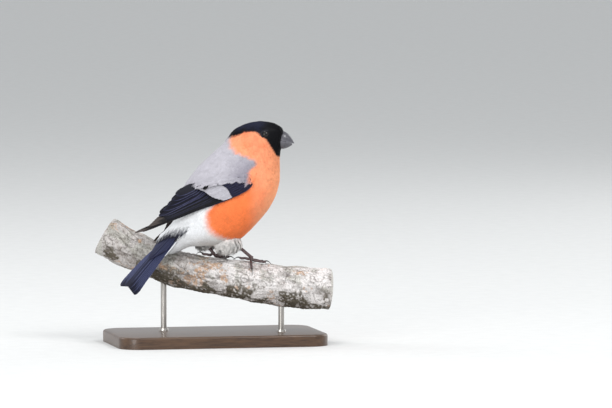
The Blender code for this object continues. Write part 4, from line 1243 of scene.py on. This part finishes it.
def make_eyes():
    shine = shader_material("eye_surface", 0.20, specular=0.35)
    Nodes(shine).colour(Nodes(shine).attribute())
    lid_skin = shader_material("lid_skin", 0.8, specular=0.08)
    nodes = Nodes(lid_skin)
    grain = nodes.noise(nodes.object_coordinates(), 3200.0, 4.0)
    nodes.painted(grain, 0.7)
    nodes.bump(grain, 0.5, 0.00008)
    for name, side in (("left", 1.0), ("right", -1.0)):
        centre, look = eye_place(side)
        mesh = bmesh.new()
        bmesh.ops.create_uvsphere(mesh, u_segments=56, v_segments=36, radius=EYE_RADIUS)
        for vert in mesh.verts:
            vert.co = Vector(centre) + vert.co + vert.co.normalized() * 0.12 * max(
                0.0, vert.co.normalized().dot(Vector(look))) ** 6
        toward = unit(vertex_array(mesh) - centre) @ look
        iris = smooth(0.80, 0.86, toward) * smooth(0.955, 0.935, toward)
        colours = mix(np.broadcast_to((0.002, 0.002, 0.003), (len(toward), 3)), (0.011, 0.006, 0.004), iris)
        ball = make_piece(f"eyeball_{name}", mesh, shine, colours)
        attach(ball, "root")
        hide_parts(f"eye_{name}")
        across = unit(np.cross(look, (0.0, 0.0, 1.0)))
        over = np.cross(across, look)

        def lid(u, v):
            turn = TURN * u
            roll = TURN * v
            # the opening is a little flatter above and pointed towards the bill
            outward = (across * (np.cos(turn) * 1.04)[..., None] + over * (np.sin(turn) * 0.93)[..., None])
            fold = 0.34 + 0.07 * np.sin(turn * 23.0) + 0.05 * np.sin(turn * 9.0 + 1.0)
            out = 0.62 + 0.05 * np.sin(turn * 2.0)
            ring = centre + look * 1.48 + outward * (LID_RADIUS + 0.25)
            return (ring + outward * (out * np.cos(roll))[..., None]
                    + look * (fold * np.sin(roll))[..., None])

        mesh = mapped_grid(110, 18, lid)
        tone = np.full((len(mesh.verts), 3), 0.024) * (1.0, 1.0, 1.35)
        rim = make_piece(f"eyelid_{name}", mesh, lid_skin, tone)
        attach(rim, "root")


# Legs, toes and claws

SHANK_RADIUS = 1.15
TOE_RADIUS = 0.95
TOE_CLAW = 4.2
TOE_KNUCKLE = 0.45
TOE_STEPS = 7.0
CLAW_ARCH = 0.7
ANKLE_RISE = 1.6
LEGS = {
    "left": dict(side=1.0, knee=(-7.5, 7.0, 70.5), station=-4.0, drape=math.radians(-8.0),
                 toes=((-26.0, 9.0), (2.0, 11.5), (34.0, 9.5), (184.0, 7.5))),
    "right": dict(side=-1.0, knee=(11.4, -8.4, 69.0), station=21.8, drape=math.radians(4.0),
                  toes=((-24.0, 9.0), (4.0, 11.0), (78.0, 10.0), (186.0, 7.5))),
}
LEG_DARK = (0.045, 0.024, 0.024)
LEG_PALE = (0.180, 0.125, 0.125)


def tube_points(path, radius_at, up_hint):
    """place(u, v) of a round tube along path(u), closed at both ends; v = 0 is its upper side."""
    def place(u, v):
        part = np.clip((u - 0.04) / 0.92, 0.0, 1.0)
        cap = np.clip(np.minimum(u, 1.0 - u) / 0.04, 0.0, 1.0)
        middle = path(part)
        ahead = unit(path(np.clip(part + 0.01, 0.0, 1.0)) - path(np.clip(part - 0.01, 0.0, 1.0)))
        side = unit(np.cross(ahead, np.broadcast_to(up_hint, ahead.shape)))
        above = np.cross(side, ahead)
        angle = TURN * v
        reach = radius_at(part, angle) * np.sqrt(cap)
        return middle + above * (reach * np.cos(angle))[:, None] + side * (reach * np.sin(angle))[:, None]

    return place


def scutes(gone, angle, size, depth):
    """Raised edges of overlapping plates on the upper side of a toe or shank."""
    saw = (gone / size) % 1.0
    return depth * (saw ** 0.6 - 0.5) * smooth(-0.3, 0.4, np.cos(angle))


def toe_path(leg, ankle, heading, length):
    reach = length + TOE_CLAW

    def radius_of(gone):
        return TOE_RADIUS * (1.0 - 0.25 * gone / reach) * (1.0 - 0.72 * smooth(length, reach, gone))

    def resting(gone):
        station = leg["station"] + gone * np.cos(heading)
        wall = perch_row(np.full_like(gone, leg["station"]))[1]
        angle = leg["drape"] + gone * np.sin(heading) / wall
        knuckle = TOE_KNUCKLE * np.sin(np.pi * np.minimum(1.0, gone / length))
        late = np.clip((gone - length * 0.85) / (reach - length * 0.85), 0.0, 1.0)
        return perch_points(station, angle,
                            0.55 + radius_of(gone) + knuckle + CLAW_ARCH * np.sin(np.pi * late))

    first = reach / TOE_STEPS

    def path(gone):
        start = resting(np.maximum(gone, first))
        return mix(np.broadcast_to(ankle, start.shape), start, np.clip(gone / first, 0.0, 1.0))

    return path, radius_of


def make_leg(name, leg):
    scaly = shader_material(f"leg_skin_{name}", 0.45, specular=0.4)
    nodes = Nodes(scaly)
    grain = nodes.noise(nodes.object_coordinates(), 2200.0, 4.0)
    nodes.painted(grain, 0.66)
    nodes.bump(grain, 0.35, 0.00008)
    ankle = perch_points(np.array(leg["station"]), np.array(leg["drape"]), TOE_RADIUS * 2.0 + ANKLE_RISE)
    knee = np.array(leg["knee"])
    down = unit(ankle - knee)
    shank_end = ankle + down * 0.9

    def shank_path(part):
        return mix(np.broadcast_to(knee, (*part.shape, 3)), shank_end, part)

    def shank_radius(part, angle):
        gone = part * np.linalg.norm(shank_end - knee)
        swell = 0.16 * np.exp(-((part - 1.0) / 0.07) ** 2) + 0.12 * (1.0 - smooth(0.0, 0.25, part))
        flattened = 1.0 - 0.10 * np.sin(angle) ** 2
        return (SHANK_RADIUS - 0.05 + swell) * flattened + scutes(gone, angle, 1.9, 0.13)

    ahead_hint = np.array((0.9, leg["side"] * 0.1, 0.1))
    mesh = mapped_grid(150, 28, tube_points(shank_path, shank_radius, ahead_hint))
    leg_piece(f"scaly_shank_{name}", mesh, scaly, f"shank_{name}")
    toes = bmesh.new()
    claws = bmesh.new()
    for index, (heading, length) in enumerate(leg["toes"]):
        path, radius_of = toe_path(leg, ankle, math.radians(heading * -leg["side"]), length)
        reach = length + TOE_CLAW
        end = length * 1.02

        def toe_radius(part, angle):
            gone = part * end
            pads = 0.10 * np.sin(gone * 1.9 + index) * smooth(0.2, -0.6, np.cos(angle))
            return np.maximum(radius_of(gone), 0.5) + scutes(gone, angle, 1.05, 0.13) + pads

        def claw_radius(part, angle):
            return 0.52 * (1.0 - part) ** 0.75 * (1.0 + 0.18 * np.cos(angle)) + 0.05

        def claw_path(part):
            gone = length * 0.9 + part * (reach - length * 0.9)
            hook = -0.9 * part ** 3 + 0.35 * np.sin(np.pi * part)
            return path(gone) + np.array((0.0, 0.0, 1.0)) * hook[:, None]

        toe_mesh = mapped_grid(90, 22, tube_points(lambda part: path(part * end), toe_radius,
                                                   (0.0, 0.0, 1.0)))
        claw_mesh = mapped_grid(30, 16, tube_points(claw_path, claw_radius, (0.0, 0.0, 1.0)))
        join(toes, toe_mesh)
        join(claws, claw_mesh)
    leg_piece(f"toes_{name}", toes, scaly, f"foot_{name}")
    points = len(claws.verts)
    piece = make_piece(f"claws_{name}", claws, horn_material(f"claw_horn_{name}", 0.28),
                       np.full((points, 3), 0.022) * (1.1, 1.0, 0.95))
    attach(piece, "root")


def join(target, source):
    """Move the faces of one bmesh into another."""
    data = bpy.data.meshes.new("part")
    source.to_mesh(data)
    source.free()
    target.from_mesh(data)
    bpy.data.meshes.remove(data)


def leg_piece(name, mesh, material, node):
    points = vertex_array(mesh)
    pale = np.clip(0.45 + 0.35 * value_noise(points, 1.3, 21) + 0.25 * value_noise(points, 0.5, 22),
                   0.0, 1.0)
    colours = mix(np.broadcast_to(LEG_DARK, points.shape), LEG_PALE, pale * 0.7)
    piece = make_piece(name, mesh, material, colours, sharp=60.0)
    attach(piece, "root")
    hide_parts(node)


# Perch

PERCH_TURN = math.radians(-12.0)
PERCH_ROWS = np.array((
    # along, to the right, height of the axis, radius
    (-75.0, -17.0, 72.0, 13.2),
    (-58.0, -14.0, 62.3, 13.0),
    (-44.0, -11.0, 57.0, 12.2),
    (-31.0, -7.5, 52.0, 12.3),
    (-17.0, -4.5, 48.6, 12.1),
    (-3.0, -1.5, 46.0, 12.0),
    (10.0, 0.5, 44.3, 12.7),
    (24.0, 1.5, 41.8, 13.2),
    (37.0, 1.2, 40.3, 13.5),
    (51.0, 0.0, 38.8, 13.9),
    (64.0, -1.2, 37.4, 14.0),
    (78.0, -3.5, 36.2, 13.4),
))
BARK_PALE = (0.74, 0.71, 0.70)
BARK_TAN = (0.54, 0.31, 0.16)
BARK_GREY = (0.36, 0.33, 0.31)
BARK_CRACK = (0.075, 0.055, 0.045)
LICHEN = (0.125, 0.108, 0.082)
LICHEN_PALE = (0.50, 0.50, 0.45)
WOOD_END = (0.55, 0.40, 0.25)
# A round knot: its distance along the perch, its angle round it and its radius
KNOT = (20.5, 1.35, 2.6)
BARK_ROUND = 13.0


def perch_row(distance):
    """Centres and radii of the perch at distances along it."""
    keys = PERCH_ROWS[:, 0]
    index = np.clip(np.searchsorted(keys, distance, side="left") - 1, 0, len(keys) - 2)
    part = (distance - keys[index]) / (keys[index + 1] - keys[index])
    row = spline_rows(PERCH_ROWS, index + np.clip(part, 0.0, 0.999999))
    along, right, height, radius = np.moveaxis(row, -1, 0)
    centre = np.stack((along * np.cos(PERCH_TURN) + right * np.sin(PERCH_TURN),
                       along * np.sin(PERCH_TURN) - right * np.cos(PERCH_TURN), height), axis=-1)
    return centre, radius


def perch_axes(distance):
    """Directions along the perch, to its right and up from it."""
    ahead = unit(perch_row(distance + 1.0)[0] - perch_row(distance - 1.0)[0])
    right = unit(np.cross(ahead, np.broadcast_to((0.0, 0.0, 1.0), ahead.shape)))
    return ahead, right, np.cross(right, ahead)


def perch_points(distance, angle, lift=0.0):
    """Points of the bark; angle 0 is on top and grows towards the right side."""
    centre, radius = perch_row(distance)
    _, right, up = perch_axes(distance)
    rib = (0.35 * np.sin(3.0 * angle + 0.09 * distance + 0.6)
           + 0.22 * np.sin(5.0 * angle - 0.16 * distance))
    knot = 1.1 * np.exp(-((distance - 21.0) / 5.0) ** 2) * np.maximum(0.0, np.cos(angle - 2.2)) ** 4
    reach = radius + rib + knot + 0.3 * np.sin(0.35 * distance + 1.3) * np.cos(angle) + lift
    return centre + up * (reach * np.cos(angle))[..., None] + right * (reach * np.sin(angle))[..., None]


def bark_spots(distance, angle):
    """Places on the bark in a round frame that closes, for noise along its grain."""
    return np.stack((distance, BARK_ROUND * np.cos(angle), BARK_ROUND * np.sin(angle)), axis=-1)


def bark_relief(distance, angle):
    """Fissures along the branch, cracks across it, and where lichen sits on it."""
    spots = bark_spots(distance + 2.0 * np.sin(angle * 2.0), angle)
    grain = spots * (0.22, 1.0, 1.0)
    ridges = 1.0 - np.abs(value_noise(grain, 2.1, 31)) * 2.0
    fine = value_noise(grain, 0.8, 32)
    cracks = np.maximum(0.0, value_noise(spots * (2.2, 0.5, 0.5), 2.4, 33) - 0.55)
    crust = smooth(0.05, 0.42, value_noise(spots, 5.5, 34) + 0.45 * value_noise(spots, 1.9, 35)
                   + 0.35 * smooth(0.3, -0.8, np.cos(angle)))
    flakes = crust * (0.5 + 0.5 * value_noise(spots, 0.9, 36))
    furrows = thin_lines(spots * (0.5, 1.0, 1.0), 2.0, 0.12, 0.2, 47)
    return 0.26 * ridges + 0.15 * fine - 0.55 * cracks + 0.45 * flakes - 0.35 * furrows, crust, ridges


def make_perch():
    first, last = PERCH_ROWS[0, 0], PERCH_ROWS[-1, 0]
    cap = 0.045

    def place(u, v):
        inner = np.clip(np.minimum(u, 1.0 - u) / cap, 0.0, 1.0)
        part = np.clip((u - cap) / (1.0 - 2.0 * cap), 0.0, 1.0)
        distance = first + (last - first) * part
        angle = TURN * v
        centre = perch_row(distance)[0]
        relief = bark_relief(distance, angle)[0]
        skin = perch_points(distance, angle, relief * np.clip((inner - 0.9) / 0.1, 0.0, 1.0) - 0.12)
        saw = 0.10 * np.sin(inner * 75.0) * (inner < 0.93)
        ahead = perch_axes(distance)[0]
        dome = np.where(u < 0.5, -1.0, 1.0) * (0.25 * (1.0 - inner ** 6) + saw * 0.25)
        dome = dome * (1.0 - (inner > 0.999))
        return mix(centre, skin, np.minimum(inner, 1.0)) + ahead * dome[..., None]

    mesh = mapped_grid(430, 200, place)
    points = vertex_array(mesh)
    colours = bark_colours(points, first, last)
    piece = make_piece("perch_bark", mesh, bark_material(), colours)
    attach(piece, "root")
    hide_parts("perch_branch")


def perch_place(points):
    """Distance along and angle round the perch of points near it."""
    along = points[:, 0] * np.cos(PERCH_TURN) + points[:, 1] * np.sin(PERCH_TURN)
    distance = along
    for _ in range(3):
        centre = perch_row(distance)[0]
        ahead = perch_axes(distance)[0]
        distance = distance + np.sum((points - centre) * ahead, axis=1)
    centre = perch_row(distance)[0]
    _, right, up = perch_axes(distance)
    out = points - centre
    angle = np.arctan2(np.sum(out * right, axis=1), np.sum(out * up, axis=1))
    return distance, angle, np.linalg.norm(out, axis=1)


def thin_lines(spots, size, level, width, seed):
    """Thin winding lines, as the cracks of old bark: 1 on the line and 0 away from it."""
    return smooth(width, 0.25 * width, np.abs(value_noise(spots, size, seed) - level))


def bark_colours(points, first, last):
    distance, angle, reach = perch_place(points)
    _, crust, ridges = bark_relief(distance, angle)
    spots = bark_spots(distance, angle)
    worn = smooth(0.0, 0.7, value_noise(spots, 2.6, 43))
    weathered = smooth(12.0, -24.0, distance + 6.0 * value_noise(spots, 5.0, 52))
    colour = mix(np.broadcast_to(BARK_PALE, points.shape), BARK_GREY,
                 np.clip(0.5 * worn + 0.6 * weathered, 0.0, 1.0))
    patch = value_noise(spots * (0.6, 1.0, 1.0), 4.6, 41) + 0.6 * value_noise(spots, 1.6, 42)
    near_tail = np.exp(-((distance + 8.0) / 20.0) ** 2) * smooth(-0.2, 0.7, np.sin(angle))
    tan = smooth(0.26, 0.66, patch + 0.55 * near_tail - 0.20)
    colour = mix(colour, BARK_TAN, 0.70 * tan * smooth(-0.55, 0.15, value_noise(spots, 1.0, 51)))
    under = smooth(0.25, -0.45, np.cos(angle))
    dark = crust * (0.30 + 0.70 * under)
    colour = mix(colour, LICHEN_PALE, crust * (1.0 - under) * 0.5)
    colour = mix(colour, LICHEN, dark * smooth(-0.35, 0.25, value_noise(spots, 1.1, 44) + 0.4 * under))
    cracks = np.maximum(thin_lines(spots * (0.5, 1.0, 1.0), 2.0, 0.12, 0.15, 47),
                        thin_lines(spots * (1.2, 0.8, 0.8), 1.5, -0.15, 0.14, 48)
                        * smooth(-0.2, 0.4, value_noise(spots, 3.5, 49)))
    ring = np.hypot(distance - KNOT[0], (angle - KNOT[1]) * BARK_ROUND)
    cracks = np.maximum(cracks * smooth(-0.5, 0.5, value_noise(spots, 5.0, 50) + 0.35),
                        smooth(0.55, 0.2, np.abs(ring - KNOT[2])) * 0.9)
    colour = mix(colour, BARK_CRACK, 0.55 * cracks)
    # painted shade: darker down in the furrows between the ridges of the relief
    colour = colour * (0.84 + 0.18 * np.clip(ridges, -1.0, 1.0))[:, None]
    colour = colour * (1.0 + 0.14 * value_noise(spots, 0.6, 45))[:, None]
    ends = np.minimum(np.abs(distance - first), np.abs(distance - last)) < 5.0
    radius = perch_row(np.clip(distance, first, last))[1]
    cut = ends & (reach < radius * 0.93)
    rings = 0.82 + 0.18 * np.sin(reach * 6.0 + 0.6 * np.sin(angle * 3.0))
    grain = np.asarray(WOOD_END) * rings[:, None] * (0.9 + 0.1 * value_noise(points, 1.1, 46))[:, None]
    return np.clip(np.where(cut[:, None], grain, colour), 0.0, 1.0)


def bark_material():
    made = shader_material("bark_surface", 0.86, specular=0.25)
    nodes = Nodes(made)
    vector = nodes.object_coordinates()
    fine = nodes.noise(vector, 1100.0, 8.0, 0.65)
    broad = nodes.noise(vector, 320.0, 6.0)
    speckle = nodes.ramp(fine, ((0.34, (0.42, 0.40, 0.37)), (0.47, (0.94, 0.94, 0.94)),
                                (0.70, (1.12, 1.11, 1.10))))
    nodes.colour(nodes.blend(1.0, nodes.attribute(), speckle, "MULTIPLY"))
    nodes.bump(nodes.blend(0.5, fine, broad), 0.75, 0.00045)
    return made


# Stand

BASE = (144.0, 84.0, 8.0)
BASE_CORNER = 14.0
BASE_EDGE = 1.6
ROD_RADIUS = 2.0
# Where a rod starts in the base, how far it goes into the bark, and its collar's two radii and height
ROD_FOOT = 3.3
ROD_IN_BARK = 5.0
COLLAR = (3.4, 3.1, 1.4)
ROD_STATIONS = {"stand_rod_rear": -35.0, "stand_rod_front": 45.0}


def make_stand():
    mesh = bmesh.new()
    bmesh.ops.create_cube(mesh, size=1.0)
    bmesh.ops.scale(mesh, vec=BASE, verts=mesh.verts)
    bmesh.ops.translate(mesh, vec=(0.0, 0.0, BASE[2] / 2.0), verts=mesh.verts)
    upright = [edge for edge in mesh.edges if abs(edge.verts[0].co.z - edge.verts[1].co.z) > 1.0]
    bmesh.ops.bevel(mesh, geom=upright, offset=BASE_CORNER, segments=16, profile=0.5, affect="EDGES",
                    material=-1)
    rim = [edge for edge in mesh.edges if all(vert.co.z > BASE[2] - 0.01 for vert in edge.verts)]
    bmesh.ops.bevel(mesh, geom=rim, offset=BASE_EDGE, segments=5, profile=0.5, affect="EDGES", material=-1)
    base = make_piece("stand_base_board", mesh, wood_material(), sharp=35.0)
    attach(base, "root")
    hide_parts("stand_base")
    metal = metal_material()
    for name, distance in ROD_STATIONS.items():
        centre = perch_row(np.array(distance))[0]
        top = perch_points(np.array(distance), np.array(np.pi))[2] + ROD_IN_BARK
        mesh = bmesh.new()
        bmesh.ops.create_cone(mesh, cap_ends=True, segments=48, radius1=ROD_RADIUS, radius2=ROD_RADIUS,
                              depth=top - ROD_FOOT)
        bmesh.ops.translate(mesh, vec=(centre[0], centre[1], (top + ROD_FOOT) / 2.0), verts=mesh.verts)
        collar = bmesh.ops.create_cone(mesh, cap_ends=True, segments=48, radius1=COLLAR[0],
                                       radius2=COLLAR[1], depth=COLLAR[2])["verts"]
        bmesh.ops.translate(mesh, vec=(centre[0], centre[1], BASE[2] + COLLAR[2] / 2.0), verts=collar)
        rod = make_piece(f"{name}_metal", mesh, metal, sharp=35.0)
        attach(rod, "root")
        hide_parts(name)


def wood_material():
    made = shader_material("stand_wood_surface", 0.38, specular=0.4, coat=0.25)
    nodes = Nodes(made)
    vector = nodes.object_coordinates((1.0, 9.0, 9.0))
    grain = nodes.noise(vector, 26.0, 8.0, 0.6)
    pores = nodes.noise(nodes.object_coordinates((1.0, 16.0, 16.0)), 120.0, 4.0)
    colour = nodes.ramp(grain, ((0.30, (0.030, 0.015, 0.008)), (0.52, (0.072, 0.036, 0.018)),
                                (0.75, (0.110, 0.060, 0.031))))
    nodes.colour(nodes.blend(0.35, colour,
                             nodes.ramp(pores, ((0.40, (0.02, 0.01, 0.006)), (0.55, (0.10, 0.055, 0.03)))),
                             "MIX"))
    nodes.bump(pores, 0.15, 0.0001)
    return made


def metal_material():
    made = shader_material("stand_metal_surface", 0.32, metallic=1.0, colour=(0.42, 0.40, 0.37))
    nodes = Nodes(made)
    grain = nodes.noise(nodes.object_coordinates((1.0, 1.0, 0.06)), 3800.0, 4.0)
    nodes.colour(nodes.ramp(grain, ((0.3, (0.34, 0.32, 0.30)), (0.7, (0.50, 0.48, 0.45)))))
    nodes.bump(grain, 0.12, 0.00004)
    return made


# Floor, lights and camera

def make_floor():
    mesh = bmesh.new()
    bmesh.ops.create_circle(mesh, cap_ends=True, segments=96, radius=16000.0)
    floor = shader_material("floor_surface", 0.75, specular=0.2)
    nodes = Nodes(floor)
    grain = nodes.noise(nodes.object_coordinates(), 90.0, 4.0)
    nodes.colour(nodes.ramp(grain, ((0.3, (0.64, 0.645, 0.64)), (0.7, (0.67, 0.675, 0.67)))))
    make_piece("floor", mesh, floor, smooth_faces=False)


def area_light(name, place, target, size, power):
    light = bpy.data.lights.new(name, "AREA")
    light.shape = "DISK"
    light.size = size
    light.energy = power
    item = scene_link(bpy.data.objects.new(name, light))
    item.location = place
    item.rotation_euler = (Vector(target) - Vector(place)).to_track_quat("-Z", "Y").to_euler()


def make_lights():
    bpy.context.scene.view_settings.view_transform = "Standard"
    world = bpy.data.worlds.new("studio")
    bpy.context.scene.world = world
    world.use_nodes = True
    world.node_tree.nodes["Background"].inputs["Color"].default_value = (0.88, 0.90, 0.92, 1.0)
    world.node_tree.nodes["Background"].inputs["Strength"].default_value = 0.80
    middle = (0.0, 0.0, 0.10)
    area_light("key", (0.75, -1.05, 1.35), middle, 0.8, 15.0)
    area_light("overhead", (-0.25, 0.15, 1.6), middle, 1.0, 8.0)
    area_light("low side", (-1.0, -1.3, 0.40), middle, 0.9, 12.0)
    area_light("fill", (1.4, 0.9, 0.6), middle, 1.1, 6.0)
    area_light("rear", (-1.3, 0.9, 1.0), middle, 0.9, 6.0)


def view_axes():
    """The picture's right, its up, and the direction from the bird to the camera."""
    ca, sa = math.cos(VIEW_AZIMUTH), math.sin(VIEW_AZIMUTH)
    ce, se = math.cos(VIEW_ELEVATION), math.sin(VIEW_ELEVATION)
    right = Vector((ca, sa, 0.0))
    up = Vector((-sa * se, ca * se, ce))
    back = Vector((sa * ce, -ca * ce, se))
    return right, up, back


def make_camera():
    right, up, back = view_axes()
    across = (PHOTO_WIDTH / 2.0 - ORIGIN_PIXEL[0]) * SCALE * MM
    high = (ORIGIN_PIXEL[1] - PHOTO_HEIGHT / 2.0) * SCALE * MM
    place = right * across + up * high + back * VIEW_DISTANCE
    data = bpy.data.cameras.new("camera")
    data.sensor_width = 36.0
    data.lens = data.sensor_width * VIEW_DISTANCE / (PHOTO_WIDTH * SCALE * MM)
    camera = scene_link(bpy.data.objects.new("camera", data))
    turn = Matrix((right, up, back)).transposed().to_4x4()
    camera.matrix_world = Matrix.Translation(place) @ turn
    bpy.context.scene.camera = camera


def main():
    make_camera()
    make_lights()
    make_floor()
    make_stand()
    make_perch()
    for name, leg in LEGS.items():
        make_leg(name, leg)
    make_skin()
    make_thigh_skins()
    for name, wing in WINGS.items():
        make_wing(name, wing)
    make_tail()
    make_bill()
    make_eyes()
    make_coat()
    for name, wing in WINGS.items():
        make_shoulder(name, wing)
    make_thigh_coat()


main()
